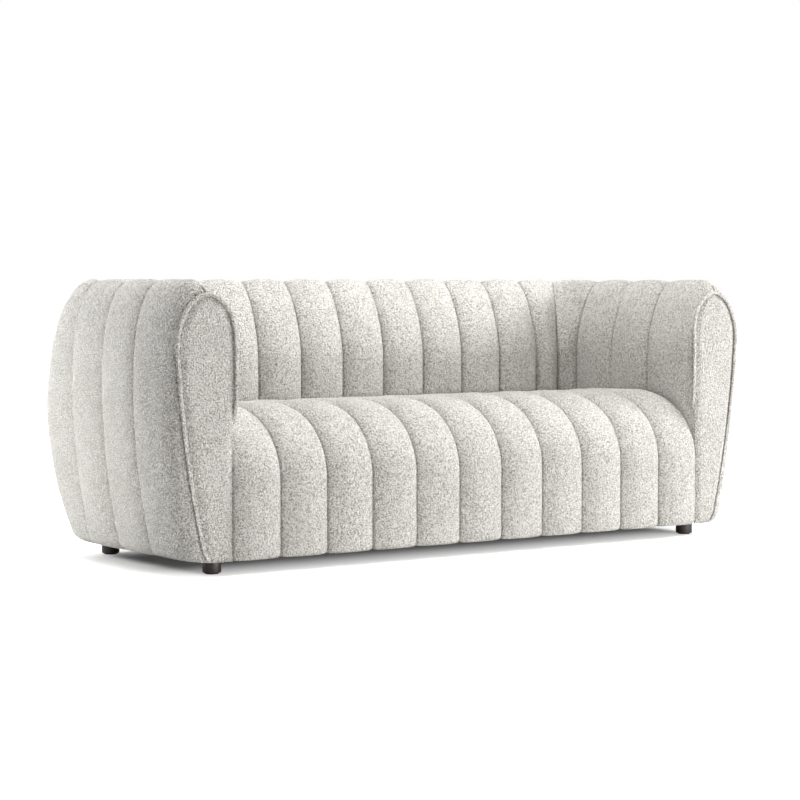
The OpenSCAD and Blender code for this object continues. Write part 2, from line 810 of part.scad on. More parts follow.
bolt_top = base_top - tnut_flange_t;
module foot_bolts() {
  color("silver")
    foot_places() translate([0, 0, foot_top - bolt_in_foot])
      cylinder(d = bolt_d, h = bolt_top - foot_top + bolt_in_foot, $fn = fixing_fn);
}
module foot_tnuts() {
  color("gray")
    foot_places() difference() {
      union() {
        translate([0, 0, base_top - tnut_flange_t - tnut_barrel_l])
          cylinder(d = tnut_barrel_d, h = tnut_barrel_l, $fn = fixing_fn);
        translate([0, 0, base_top - tnut_flange_t])
          cylinder(d = tnut_flange_d, h = tnut_flange_t, $fn = fixing_fn);
      }
      translate([0, 0, base_z])
        cylinder(d = bolt_d + bore_gap, h = bearer_h + overrun, $fn = fixing_fn);
    }
}
module foot_glides() {
  color("dimgray")
    foot_places() {
      cylinder(d = glide_dia, h = glide_t, $fn = fixing_fn);
      cylinder(d = nail_d, h = nail_len, $fn = fixing_fn);
    }
}

seat_panel();
back_cover();
left_arm_cover();
right_arm_cover();
left_corner_gusset();
right_corner_gusset();
left_front_panel();
right_front_panel();
left_front_welt();
right_front_welt();
seat_foam_core();
deck_cloth();
seat_springs();
spring_clips();
spring_ties();
front_rail();
rear_seat_board();
left_side_board();
right_side_board();
left_bearer();
right_bearer();
rear_bearer();
centre_stretchers();
rear_spring_rail();
corner_blocks();
corner_screws();
rail_dowels();
left_front_board();
right_front_board();
left_arm_ribs();
right_arm_ribs();
left_arm_top_rail();
right_arm_top_rail();
left_arm_outer_rail();
right_arm_outer_rail();
left_arm_lining();
right_arm_lining();
back_ribs();
back_top_rail();
back_outer_rail();
back_webbing();
left_corner_post();
right_corner_post();
left_corner_formers();
right_corner_formers();
dust_cover();
front_left_foot();
front_right_foot();
rear_left_foot();
rear_right_foot();
foot_bolts();
foot_tnuts();
foot_glides();
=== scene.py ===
"""Looks of a channel-quilted tuxedo sofa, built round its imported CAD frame."""
import json
import math
from collections import namedtuple

import bmesh
import bpy
import numpy as np
from bpy.props import FloatProperty, FloatVectorProperty, IntProperty, PointerProperty
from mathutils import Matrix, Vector, noise


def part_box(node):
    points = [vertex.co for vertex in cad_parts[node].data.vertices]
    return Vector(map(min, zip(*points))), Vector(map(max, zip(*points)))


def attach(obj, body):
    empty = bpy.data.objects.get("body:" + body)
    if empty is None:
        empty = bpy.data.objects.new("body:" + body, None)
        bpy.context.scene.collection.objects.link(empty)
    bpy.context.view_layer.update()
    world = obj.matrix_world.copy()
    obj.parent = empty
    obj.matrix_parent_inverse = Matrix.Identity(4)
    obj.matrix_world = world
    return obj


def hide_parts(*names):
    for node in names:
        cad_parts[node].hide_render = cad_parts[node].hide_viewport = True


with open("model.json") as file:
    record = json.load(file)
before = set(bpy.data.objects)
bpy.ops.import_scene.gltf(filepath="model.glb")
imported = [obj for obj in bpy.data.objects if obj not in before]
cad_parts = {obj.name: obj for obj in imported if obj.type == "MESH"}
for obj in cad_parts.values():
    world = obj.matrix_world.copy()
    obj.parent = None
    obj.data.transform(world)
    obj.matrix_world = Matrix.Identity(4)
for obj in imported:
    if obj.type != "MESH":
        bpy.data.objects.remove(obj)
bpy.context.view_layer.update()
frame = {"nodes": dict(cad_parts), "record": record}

bl_info = {
    "name": "Tuxedo Sofa",
    "version": (1, 0, 0),
    "blender": (4, 5, 0),
    "location": "View3D > Sidebar > Sofa",
    "description": "Builds the covers, feet, materials and stage of a channel-quilted tuxedo sofa",
    "category": "Object",
}


# Colours

def linear(hex_colour):
    """An sRGB hex colour as linear red, green and blue."""
    values = [int(hex_colour[i:i + 2], 16) / 255 for i in (1, 3, 5)]
    return tuple(v / 12.92 if v <= 0.04045 else ((v + 0.055) / 1.055) ** 2.4 for v in values)


# Settings

def length(name, description, default):
    """A property for a length in metres."""
    return FloatProperty(name=name, description=description, default=default, min=0, unit="LENGTH")


def colour(name, description, default):
    """A property for a colour, from its sRGB hex value."""
    return FloatVectorProperty(name=name, description=description, default=linear(default),
                               min=0, max=1, size=3, subtype="COLOR")


class SofaSizes(bpy.types.PropertyGroup):
    """Sizes of the quilted covers and of the feet. The main ones are also in the part's source."""
    channel: length("Channel", "Width of a seat or back channel, seam to seam", 0.146)
    channels: IntProperty(name="Channels", description="Channels across the seat", default=11,
                          min=3)
    arm: length("Arm", "Thickness of an arm between its seams", 0.169)
    back: length("Back", "Thickness of the back between its seams", 0.181)
    seat_depth: length("Seat depth", "Front seams to the back's inside seams", 0.572)
    height: length("Height", "Height of the top seams", 0.75)
    seat_height: length("Seat height", "Height of the seat's top seams", 0.408)
    skirt: length("Skirt", "Height of the covers' lower edge", 0.0365)
    arm_first: length("First arm channel", "Front seam to an arm's first seam", 0.207)
    arm_channel: length("Arm channel", "Width of an arm channel", 0.166)
    seat_puff: length("Seat puff", "Rise of a seat channel on top", 0.024)
    front_puff: length("Front puff", "Rise of a seat channel in front", 0.026)
    back_puff: length("Back puff", "Rise of a back channel inside", 0.034)
    arm_puff: length("Arm puff", "Rise of an arm channel inside", 0.015)
    outer_puff: length("Outer puff", "Rise of a channel outside", 0.016)
    top_puff: length("Top puff", "Rise of a channel on top", 0.012)
    pad: length("Pad", "Thickness of a cover under its seams", 0.03)
    corner: length("Corner", "Radius of a rear corner", 0.12)
    lean: length("Lean", "How far the outside leans in at its lower edge", 0.055)
    inner_roll: length("Inner roll", "Height of the roll from the inside to the top", 0.21)
    outer_roll: length("Outer roll", "Height of the roll from the top to the outside", 0.27)
    edge_depth: length("Edge depth", "Depth of the seat's rolled front edge", 0.2)
    edge_height: length("Edge height", "Height of the seat's rolled front edge", 0.172)
    seat_sink: length("Seat sink", "How far the seat sinks towards the back", 0.015)
    rear_tuck: length("Rear tuck", "How far the seat takes to swell out of its rear seam", 0.09)
    front_roll: length("Front roll", "Depth of the roll to an arm's front seam", 0.065)
    drop_inside: length("Inside drop", "How far the front seam lies inside, beside the seat", 0.002)
    lap: length("Lap", "How far the front seam stands past the inside seams over the seat", 0.01)
    drop_side: length("Side drop", "How far the front seam lies inside the arm's outer face", 0.006)
    drop_top: length("Top drop", "How far the front seam lies under the arm's top", 0.026)
    drop_foot: length("Foot drop", "How far the front seam lies inside the arm's lower edge", 0.036)
    arch_in: length("Inner arch", "Height of the front seam's arch inside an arm", 0.117)
    arch_out: length("Outer arch", "Height of the front seam's arch outside an arm", 0.137)
    welt: length("Welt", "Width of the flat welt round an arm's front panel", 0.012)
    welt_rise: length("Welt rise", "How far the welt stands out", 0.008)
    tuck: length("Tuck", "How far a cover takes to swell out of its seam", 0.04)
    foot: length("Foot", "Diameter of a foot", 0.049)
    foot_bevel: length("Foot bevel", "Bevel at a foot's lower edge", 0.003)
    corner_in: length("Corner inside", "How far the corner channel runs along the back", 0.056)
    seam_sink: length("Seam sink", "How far the thread pulls a seam in", 0.004)
    wrinkle: length("Wrinkle", "Height of the covers' unevenness", 0.0016)


class SofaColours(bpy.types.PropertyGroup):
    """Colours of the finishes that show."""
    # The yarn's tones by the curls' height: painted shade in the gaps, lighter on the tops
    yarn_top: colour("Yarn curls", "Tops of the boucle curls", "#FFFDFA")
    yarn_middle: colour("Yarn", "Sides of the boucle curls", "#E2DED7")
    yarn_pit: colour("Yarn gaps", "Gaps between the boucle curls", "#ABA59C")
    # Darkest tone: painted shade at the seams and in the deepest gaps between curls
    yarn_painted_shade: colour("Yarn seams", "Deepest shade of the boucle, in its seams", "#7E786F")
    foot: colour("Foot", "Stained wood of the feet", "#2C2422")
    foot_grain: colour("Foot grain", "Lighter grain of the feet", "#453936")
    floor: colour("Floor", "Pale studio floor", "#F4F4F3")
    wood: colour("Timber", "Frame timber", "#C9A273")
    wood_grain: colour("Timber grain", "Dark grain of the frame timber", "#9C7448")
    board: colour("Hardboard", "Hardboard linings", "#7A5636")
    cloth: colour("Lining cloth", "Deck cloth and dust cover", "#3A3A3B")
    foam: colour("Foam", "Upholstery foam", "#D9CF9A")
    steel: colour("Steel", "Spring steel wire", "#8C8C8E")
    zinc: colour("Zinc", "Zinc-plated fixings", "#B9BCBE")
    felt: colour("Glide", "Felt glides", "#57534F")


# Shapes of the covers

# Width of the gap between a cover and its neighbour, and the smallest difference that counts
GAP = 0.0003
TINY = 1e-6

# How square the rolls are: 2 is a plain arc, and higher is squarer. The outside roll changes to the
# corner's over an extra thickness of CORNER_SPAN.
SQUARE_INSIDE = 1.6
SQUARE_OUTSIDE = 2.4
SQUARE_CORNER = 1.98
CORNER_SPAN = 0.04
FRONT_SQUARE_IN = 2.0
FRONT_SQUARE_OUT = 1.9

# How fast the outside roll and the lean grow with the thickness of a cover
ROLL_GROWTH = 0.75
LEAN_GROWTH = 1.2

# Top of an arm's front arch as a share of the arm, how far under the seat's top the front seam
# starts to lap over it, and the height in which it does
FRONT_TOP = 0.44
LAP_Z = 0.05
LAP_HEIGHT = 0.07

# How a cover turns in at its lower edge: radius outside and its share of puff left, and the same in
# front of the seat, where it turns in less than its radius
ROUND_R = 0.028
ROUND_PUFF = 0.3
SEAT_ROUND_R = 0.016
SEAT_ROUND_IN = 0.008
SEAT_ROUND_PUFF = 0.35

# Rows of an arm or back cover: out of its lower seam, up its inside, in each half of its roll, down
# its outside and round its lower edge. The backing takes one row in six.
TUCK_ROWS = 8
WALL_ROWS = 18
ROLL_ROWS = 30
SIDE_ROWS = 44
ROUND_ROWS = 10
BACKING_STEP = 6

# Rows of the seat: out of its rear seam, along its top, over its edge, down its front and round its
# lower edge
REAR_ROWS = 12
TOP_ROWS = 36
EDGE_ROWS = 40
FRONT_ROWS = 24
SEAT_ROUND_ROWS = 7

# Rings of a channel, of a corner channel, of each curve of an arm's first channel and between these
COLUMNS = 26
CORNER_COLUMNS = 36
FRONT_COLUMNS = 16
FLAT_COLUMNS = 6

# Long and short waves of the covers, and the share of the short ones
LONG_WAVE = 0.11
SHORT_WAVE = 0.035
SHORT_SHARE = 0.4

# How many times faster than a channel fills the thread's pull fades, and how much of the pull is
# missing on the outer side, where no channel is less full than SHALLOW
PULL_FADE = 3
OUTER_PULL = 0.6
SHALLOW = 0.2

# How far the thread lifts the seat's lower edge, and how that fades across a channel and up it
SEAM_LIFT = 0.014
LIFT_FADE = 1.3
LIFT_HEIGHT = 0.05

# Painted shade of a seam, how full a channel is where it ends, and what of it is missing on the
# outer side
SEAM_SHADE = 0.25
SHADE_FULLNESS = 0.36
OUTER_SHADE = 0.9

# Depth behind an arm's front at which the outer pile starts to lie flat, and the depth it takes
COMB_FROM = 0.05
COMB_REACH = 0.2

# The short join over an arm's front: how far a cover is drawn in where it starts, and over how much
# more it deepens, its depth and the painted shade in its crease
JOIN_START = 0.3
JOIN_FADE = 0.2
JOIN_DEEP = 0.006
JOIN_SHADE = 3.5

# Height at which the welt stops being flat, the height it takes to stand, and the painted shade on
# the cover beside it round the arch, which starts at a share of that height
WELT_FLAT = 0.2
WELT_FADE = 0.25
ARCH_SHADE = 0.6
ARCH_FROM = 0.5

# A row of a cover: its place across and up, its way out across and up, its puff, and its place
# across and up at an arm's front seam
Row = namedtuple("Row", "across up out_across out_up puff front_across front_up")

# A station of a cover: the places of its inside and outside foot from above, how full its channel
# is, how far it is drawn to an arm's front seam, and whether a seam runs there
Station = namedtuple("Station", "inside outside fullness drop seam")


def mix(a, b, t):
    """The value at a share of the way from a to b."""
    return a + (b - a) * t


def clamp(v):
    """A value kept between 0 and 1."""
    return max(0, min(1, v))


def puff_at(u):
    """How full a channel is at a share of its width."""
    return math.sqrt(max(0, 1 - (2 * u - 1) ** 2))


def swell_at(u):
    """How far a cover has swelled out of a seam at a share of the way."""
    return math.sqrt(max(0, 1 - (1 - min(1, u)) ** 2))


def seam_shade(fullness):
    """How much painted shade a cover takes at a seam where a channel is so full."""
    return SEAM_SHADE * max(0, 1 - fullness / SHADE_FULLNESS)


def seam_pull(s, fullness):
    """How far the thread pulls a cover in where a channel is so full."""
    return s.seam_sink * (1 - swell_at(fullness * PULL_FADE))


def rounded(v, square):
    """The sine or cosine of a turn on a roll that is so square."""
    return max(v, 0) ** (2 / square)


def round_steps(count):
    """Shares of a channel's width, close together at its seams."""
    return [(1 - math.cos(math.pi * k / count)) / 2 for k in range(count + 1)]


def unevenness(point, wavelength):
    """A smooth value from -1 to 1 that differs from place to place."""
    return noise.noise(Vector(point) / wavelength)


def creases(point):
    """The unevenness of a cover at a point, in long waves and a share of short ones."""
    return unevenness(point, LONG_WAVE) + SHORT_SHARE * unevenness(point, SHORT_WAVE)


def seat_x(s):
    """Half of the seat's width."""
    return s.channel * s.channels / 2


def body_depth(s):
    """Depth from the front seams to the outside seams of the back."""
    return s.seat_depth + s.back


def front_y(s):
    """Where the front seams lie when the whole sofa stands centred."""
    return (s.front_puff - s.outer_puff - body_depth(s)) / 2


def seat_fall(s, d):
    """How far the seat has sunk at a depth, behind its rolled front edge."""
    return s.seat_sink * max(0, (d - s.edge_depth) / (s.seat_depth - s.edge_depth)) ** 1.5


def edge_z(s, d):
    """Height of the seat's seams at a depth."""
    return s.seat_height - s.edge_height * (1 - swell_at(d / s.edge_depth)) - seat_fall(s, d)


def front_inside(s, z):
    """How far across an arm's front seam lies at a height, under its arch."""
    return mix(s.drop_inside, -s.lap, clamp((z - s.seat_height + LAP_Z) / LAP_HEIGHT))


def roll_row(s, w, t, way, puff, roll, square, front, arch, front_square):
    """A row of the roll inside (way -1) or outside (way 1) a cover w thick, at a share of the turn
    up to its crest. puff and front are the puff and the front seam's place at the roll's foot."""
    across, up = math.cos(math.pi / 2 * t), math.sin(math.pi / 2 * t)
    return Row((1 + way * rounded(across, square)) * w / 2,
               s.height - roll * (1 - rounded(up, square)),
               way * across, up, mix(puff, s.top_puff, t),
               mix(s.arm * FRONT_TOP, front, rounded(across, front_square)),
               s.height - s.drop_top - arch * (1 - rounded(up, front_square)))


def lower_row(s, t, w, roll, tuck, full):
    """A row of a cover's outside under the roll, where it leans in, at a share of the way down."""
    lean = s.lean * t * t
    return Row(w - lean * (w / s.arm) ** LEAN_GROWTH - tuck, mix(s.height - roll, s.skirt, t), 1, 0,
               s.outer_puff * full, s.arm - lean - tuck - mix(s.drop_side, s.drop_foot, t),
               mix(s.height - s.drop_top - s.arch_out, s.skirt, t))


def wrap_rows(s, z_low, puff, w):
    """Rows of an arm or back cover w thick, from its inside foot over the top to its outside."""
    rows = []
    for k in range(TUCK_ROWS + 1):
        up = s.tuck * (1 - math.cos(math.pi / 2 * k / TUCK_ROWS))
        z = z_low + GAP + up
        rows.append(Row(0, z, -1, 0, puff * swell_at(up / s.tuck), front_inside(s, z), z))
    for k in range(1, WALL_ROWS):
        z = mix(z_low + GAP + s.tuck, s.height - s.inner_roll, k / WALL_ROWS)
        rows.append(Row(0, z, -1, 0, puff, front_inside(s, z), z))
    for k in range(ROLL_ROWS + 1):
        rows.append(roll_row(s, w, k / ROLL_ROWS, -1, puff, s.inner_roll, SQUARE_INSIDE, -s.lap,
                             s.arch_in, FRONT_SQUARE_IN))
    roll = s.outer_roll * (w / s.arm) ** ROLL_GROWTH
    square = mix(SQUARE_OUTSIDE, SQUARE_CORNER, clamp((w - s.back) / CORNER_SPAN))
    for k in range(ROLL_ROWS - 1, -1, -1):
        rows.append(roll_row(s, w, k / ROLL_ROWS, 1, s.outer_puff, roll, square,
                             s.arm - s.drop_side, s.arch_out, FRONT_SQUARE_OUT))
    lowest = 1 - ROUND_R / (s.height - roll - s.skirt)
    for k in range(1, SIDE_ROWS + 1):
        rows.append(lower_row(s, lowest * k / SIDE_ROWS, w, roll, 0, 1))
    for k in range(1, ROUND_ROWS + 1):
        turn = math.pi / 2 * k / ROUND_ROWS
        rows.append(lower_row(s, mix(lowest, 1, math.sin(turn)), w, roll,
                              ROUND_R * (1 - math.cos(turn)), mix(ROUND_PUFF, 1, math.cos(turn))))
    return rows


def row_point(s, row, puffed, dropped, inset):
    """A row's place across and up, puffed and drawn to the front seam by shares, and moved in: half
    as far at the lower edge."""
    out = row.puff * puffed
    if row.up <= s.skirt + TINY:
        inset = inset / 2
    across, up = row.across + row.out_across * out, row.up + row.out_up * out
    return (mix(across, row.front_across, dropped) - row.out_across * inset,
            mix(up, row.front_up, dropped) - row.out_up * inset)


def outline_point(s, along):
    """A point of the outside seams, at a distance along them from an arm's front."""
    corner_x, corner_d = seat_x(s) + s.arm - s.corner, body_depth(s) - s.corner
    arc = s.corner * math.pi / 2
    if along <= corner_d:
        return seat_x(s) + s.arm, along
    if along <= corner_d + arc:
        turn = (along - corner_d) / s.corner
        return corner_x + s.corner * math.cos(turn), corner_d + s.corner * math.sin(turn)
    return corner_x - (along - corner_d - arc), body_depth(s)


def arm_seams(s):
    """Depths of an arm's seams. The corner channel starts at the last one."""
    return [s.arm_first + s.arm_channel * i for i in range(3)]


def corner_end(s):
    """Where the corner channel ends, along the outside seams."""
    return body_depth(s) - s.corner + s.corner * math.pi / 2


def arm_stations(s):
    """Stations of the right arm's cover, from its front seam to its corner channel."""
    half = s.arm_first / 2
    steps = []
    for k in range(FRONT_COLUMNS + 1):
        turn = math.pi / 2 * k / FRONT_COLUMNS
        d = s.front_roll * (1 - math.cos(turn))
        steps.append((d, math.sin(turn), 1 - math.sin(turn), False))
    for k in range(1, FLAT_COLUMNS + 1):
        steps.append((mix(s.front_roll, half, k / FLAT_COLUMNS), 1, 0, False))
    for k in range(1, FRONT_COLUMNS + 1):
        turn = math.pi / 2 * k / FRONT_COLUMNS
        last = k == FRONT_COLUMNS
        steps.append((half + half * math.sin(turn), 0 if last else math.cos(turn), 0, last))
    for start in arm_seams(s)[:2]:
        for u in round_steps(COLUMNS)[1:]:
            steps.append((start + u * s.arm_channel, puff_at(u), 0, u == 1))
    x = seat_x(s)
    return [Station((x, d), (x + s.arm, d), *rest) for d, *rest in steps]


def corner_stations(s):
    """Stations of the channel that fans out round the right rear corner."""
    x, start = seat_x(s), arm_seams(s)[2]
    return [Station((mix(x, x - s.corner_in, u), mix(start, s.seat_depth, u)),
                    outline_point(s, mix(start, corner_end(s), u)), puff_at(u), 0, u in (0, 1))
            for u in round_steps(CORNER_COLUMNS)]


def mirrored(stations):
    """The same stations on the other side of the sofa."""
    return [station._replace(inside=(-station.inside[0], station.inside[1]),
                             outside=(-station.outside[0], station.outside[1]))
            for station in stations]


def back_stations(s):
    """Stations of the back's cover, from its right end to its left."""
    x, depth = seat_x(s), body_depth(s)
    end = corner_end(s) + (x + s.arm - s.corner) - (x - s.channel)
    first = [Station((x - mix(s.corner_in, s.channel, u), s.seat_depth),
                     outline_point(s, mix(corner_end(s), end, u)), puff_at(u), 0, u in (0, 1))
             for u in round_steps(COLUMNS)]
    stations = list(first)
    for i in range(1, s.channels - 1):
        for u in round_steps(COLUMNS)[1:]:
            across = x - (i + u) * s.channel
            stations.append(Station((across, s.seat_depth), (across, depth), puff_at(u), 0, u == 1))
    return stations + mirrored(reversed(first))[1:]


def wrap_ring(s, station, puff):
    """The closed loop of points of a cover at one station, how many of them are its skin, how flat
    the pile lies at each, and how dark the painted shade of the marks over an arm's front is. Seams
    on the outer side are shallower."""
    inside, outside, fullness, drop, _ = station
    span = Vector(outside) - Vector(inside)
    w = span.length
    along = span / w
    rows = wrap_rows(s, edge_z(s, inside[1]), puff, w)
    flat = clamp((outside[1] - COMB_FROM) / COMB_REACH)
    join = clamp((drop - JOIN_START) / JOIN_FADE)
    ring, combed, marks = [], [], []
    for row in rows:
        outer = flat * max(0, row.out_across)
        crest = abs(row.out_across) < TINY
        full = mix(fullness, max(fullness, SHALLOW), outer) if drop == 0 else fullness
        a, z = row_point(s, row, full, drop,
                         seam_pull(s, full) * (1 - drop) * (1 - OUTER_PULL * outer))
        z -= JOIN_DEEP * join * crest
        place = (inside[0] + along[0] * a, front_y(s) + inside[1] + along[1] * a, z)
        bump = s.wrinkle * fullness * creases(place)
        ring.append((place[0] + along[0] * row.out_across * bump,
                     place[1] + along[1] * row.out_across * bump, place[2] + row.out_up * bump))
        combed.append(outer)
        arch = clamp((row.front_up - WELT_FLAT) / WELT_FADE - ARCH_FROM)
        # Painted shade over an arm's front: a dark line down the join's crease and a darker band
        # round the arch
        marks.append(JOIN_SHADE * join * crest + ARCH_SHADE * drop ** 2 * arch)
    for row in reversed(rows[::BACKING_STEP]):
        a, z = row_point(s, row, 0, drop, s.pad)
        ring.append((inside[0] + along[0] * a, front_y(s) + inside[1] + along[1] * a, z))
    backing = [0] * (len(ring) - len(rows))
    return ring, len(rows), combed + backing, marks + backing


def seat_rows(s):
    """Rows of the seat from its rear seam to its lower front edge: depth, height, way out forward
    and up, puff."""
    rows = [(s.seat_depth - GAP, s.seat_height, 0, 1, 0)]
    rear = arm_seams(s)[2] - GAP
    for k in range(REAR_ROWS + 1):
        turn = math.pi / 2 * k / REAR_ROWS
        rows.append((rear - s.rear_tuck * (1 - math.cos(turn)), s.seat_height, 0, 1,
                     s.seat_puff * math.sin(turn)))
    for k in range(1, TOP_ROWS):
        rows.append((mix(rear - s.rear_tuck, s.edge_depth, k / TOP_ROWS), s.seat_height, 0, 1,
                     s.seat_puff))
    for k in range(EDGE_ROWS):
        t = 1 - k / EDGE_ROWS
        turn = math.pi / 2 * t
        rows.append((s.edge_depth * (1 - math.cos(turn)),
                     s.seat_height - s.edge_height * (1 - math.sin(turn)),
                     -math.cos(turn), math.sin(turn), mix(s.front_puff, s.seat_puff, t)))
    foot = s.skirt + SEAT_ROUND_R
    for k in range(FRONT_ROWS):
        rows.append((0, mix(s.seat_height - s.edge_height, foot, k / FRONT_ROWS), -1, 0,
                     s.front_puff))
    for k in range(SEAT_ROUND_ROWS + 1):
        turn = math.pi / 2 * k / SEAT_ROUND_ROWS
        left = math.cos(turn) ** 0.5 if k < SEAT_ROUND_ROWS else 0
        rows.append((SEAT_ROUND_IN * (1 - math.cos(turn)),
                     s.skirt + SEAT_ROUND_R * (1 - math.sin(turn)), -1, 0,
                     s.front_puff * mix(SEAT_ROUND_PUFF, 1, left)))
    return rows


def seat_ring(s, x, fullness):
    """The closed loop of points of the seat's cover at a place across, and how many of them are its
    skin."""
    rows = seat_rows(s)
    ring = []
    lift = SEAM_LIFT * (1 - swell_at(fullness * LIFT_FADE))
    for d, z, forward, up, puff in rows:
        z += lift * max(0, 1 - (z - s.skirt) / LIFT_HEIGHT)
        out = puff * fullness - seam_pull(s, fullness)
        place = (x, front_y(s) + d + forward * out, z + up * out - seat_fall(s, d))
        bump = s.wrinkle * fullness * creases(place)
        ring.append((x, place[1] + forward * bump, place[2] + up * bump))
    for d, z, forward, up, _ in reversed(rows[::BACKING_STEP]):
        if forward == -1:
            ring.append((x, front_y(s) + s.pad, z))
        else:
            ring.append((x, front_y(s) + d - forward * s.pad, z - up * s.pad))
    return ring, len(rows)


# Meshes

def add_object(name, points, faces, sharp=(), **cloth):
    """A smooth mesh object with sharp edges between the given pairs of points. Each further value
    is an attribute of the cloth, with a number for each point."""
    mesh = bpy.data.meshes.new(name)
    mesh.from_pydata(points, [], faces)
    for key, values in cloth.items():
        mesh.attributes.new(key, "FLOAT", "POINT").data.foreach_set("value", values)
    mesh.validate()
    mesh.update()
    mesh.shade_smooth()
    if sharp:
        wanted = {tuple(sorted(pair)) for pair in sharp}
        marks = [tuple(sorted(edge.vertices)) in wanted for edge in mesh.edges]
        mesh.attributes.new("sharp_edge", "BOOLEAN", "EDGE").data.foreach_set("value", marks)
    thing = bpy.data.objects.new(name, mesh)
    bpy.context.scene.collection.objects.link(thing)
    return thing


def outward(thing):
    """Joins the points of a closed mesh that coincide and turns its faces to face out."""
    mesh = bmesh.new()
    mesh.from_mesh(thing.data)
    bmesh.ops.remove_doubles(mesh, verts=mesh.verts, dist=TINY)
    bmesh.ops.recalc_face_normals(mesh, faces=mesh.faces)
    mesh.to_mesh(thing.data)
    mesh.free()
    return thing


def tube_faces(rings, size):
    """Faces of a tube through rings of so many points each."""
    faces = []
    for j in range(rings - 1):
        for k in range(size):
            a, b = j * size + k, j * size + (k + 1) % size
            faces.append((a, b, b + size, a + size))
    return faces


def end_faces(rings, size):
    """The two faces that close such a tube."""
    last = (rings - 1) * size
    return [tuple(range(size - 1, -1, -1)), tuple(range(last, last + size))]


def slab_faces(rows, columns, start=0):
    """Faces of a closed slab between two grids of points that lie one after the other."""
    size = rows * columns
    faces = []
    for j in range(rows - 1):
        for k in range(columns - 1):
            a = start + j * columns + k
            faces.append((a, a + 1, a + columns + 1, a + columns))
            faces.append((size + a, size + a + columns, size + a + columns + 1, size + a + 1))
        for k in (0, columns - 1):
            a = start + j * columns + k
            faces.append((a, a + columns, size + a + columns, size + a))
    for j in (0, rows - 1):
        for k in range(columns - 1):
            a = start + j * columns + k
            faces.append((a, a + 1, size + a + 1, size + a))
    return faces


def swept(name, rings, skin, seams, **cloth):
    """A closed cover through rings of points. The seams are the rings where two channels meet."""
    count, size = len(rings), len(rings[0])
    points = [place for ring in rings for place in ring]
    sharp = [(j * size + k, j * size + k + 1) for j in seams for k in range(skin - 1)]
    for j in range(count - 1):
        for k in (0, skin - 1):
            sharp.append((j * size + k, (j + 1) * size + k))
    faces = tube_faces(count, size) + end_faces(count, size)
    return outward(add_object(name, points, faces, sharp, **cloth))


def wrap_cover(s, name, stations, puff):
    """The quilted cover of an arm, a corner or the back through its stations."""
    rings, skin, painted_shades, combed = [], 0, [], []
    for station in stations:
        ring, skin, outer, marks = wrap_ring(s, station, puff)
        rings.append(ring)
        combed += outer
        # Painted shade beside each seam, less on the outer side, plus the painted marks over an
        # arm's front
        painted_shades += [seam_shade(station.fullness) * (1 - OUTER_SHADE * value) + mark
                   for value, mark in zip(outer, marks)]
    seams = [j for j, station in enumerate(stations) if station.seam]
    return swept(name, rings, skin, seams, seam_shade=painted_shades, combed=combed)


# Materials

def add_node(tree, kind, inputs=None, **settings):
    """Adds a node with its settings. An input's value may be a socket, which is then linked."""
    node = tree.nodes.new(kind)
    for key, value in settings.items():
        setattr(node, key, value)
    for key, value in (inputs or {}).items():
        if isinstance(value, bpy.types.NodeSocket):
            tree.links.new(value, node.inputs[key])
        else:
            node.inputs[key].default_value = value
    return node


def set_stops(ramp, stops):
    """Gives a colour ramp its places and colours."""
    band = ramp.color_ramp
    while len(band.elements) < len(stops):
        band.elements.new(0.5)
    for element, (place, shade) in zip(band.elements, stops):
        element.position = place
        element.color = (*shade, 1)


def new_material(name):
    """A material with only its shader and output: returns the node tree and the shader."""
    material = bpy.data.materials.new(name)
    material.use_nodes = True
    tree = material.node_tree
    tree.nodes.clear()
    shader = add_node(tree, "ShaderNodeBsdfPrincipled")
    add_node(tree, "ShaderNodeOutputMaterial", {"Surface": shader.outputs[0]})
    return tree, shader


# Boucle: noise scale per metre and number of bands for the curls of two widths, 6.7 and 4 mm
CURLS = ((150, 3.4), (250, 2.4))

# Height of the pile where it is loose and where it is combed, and how deep its bump is
PILE_LOOSE = 0.28
PILE_COMBED = 0.13
PILE_DEEP = 0.007

# Scales per metre of the single hairs, 2.4 mm, and of the uneven patches, 70 mm, and how much each
# changes the tone
FUZZ_SCALE = 420
FUZZ_SHARE = 0.3
TONE_SCALE = 14
TONE_SHARE = 0.2

# How much a seam's painted shade darkens the yarn
SEAM_SHARE = 0.4


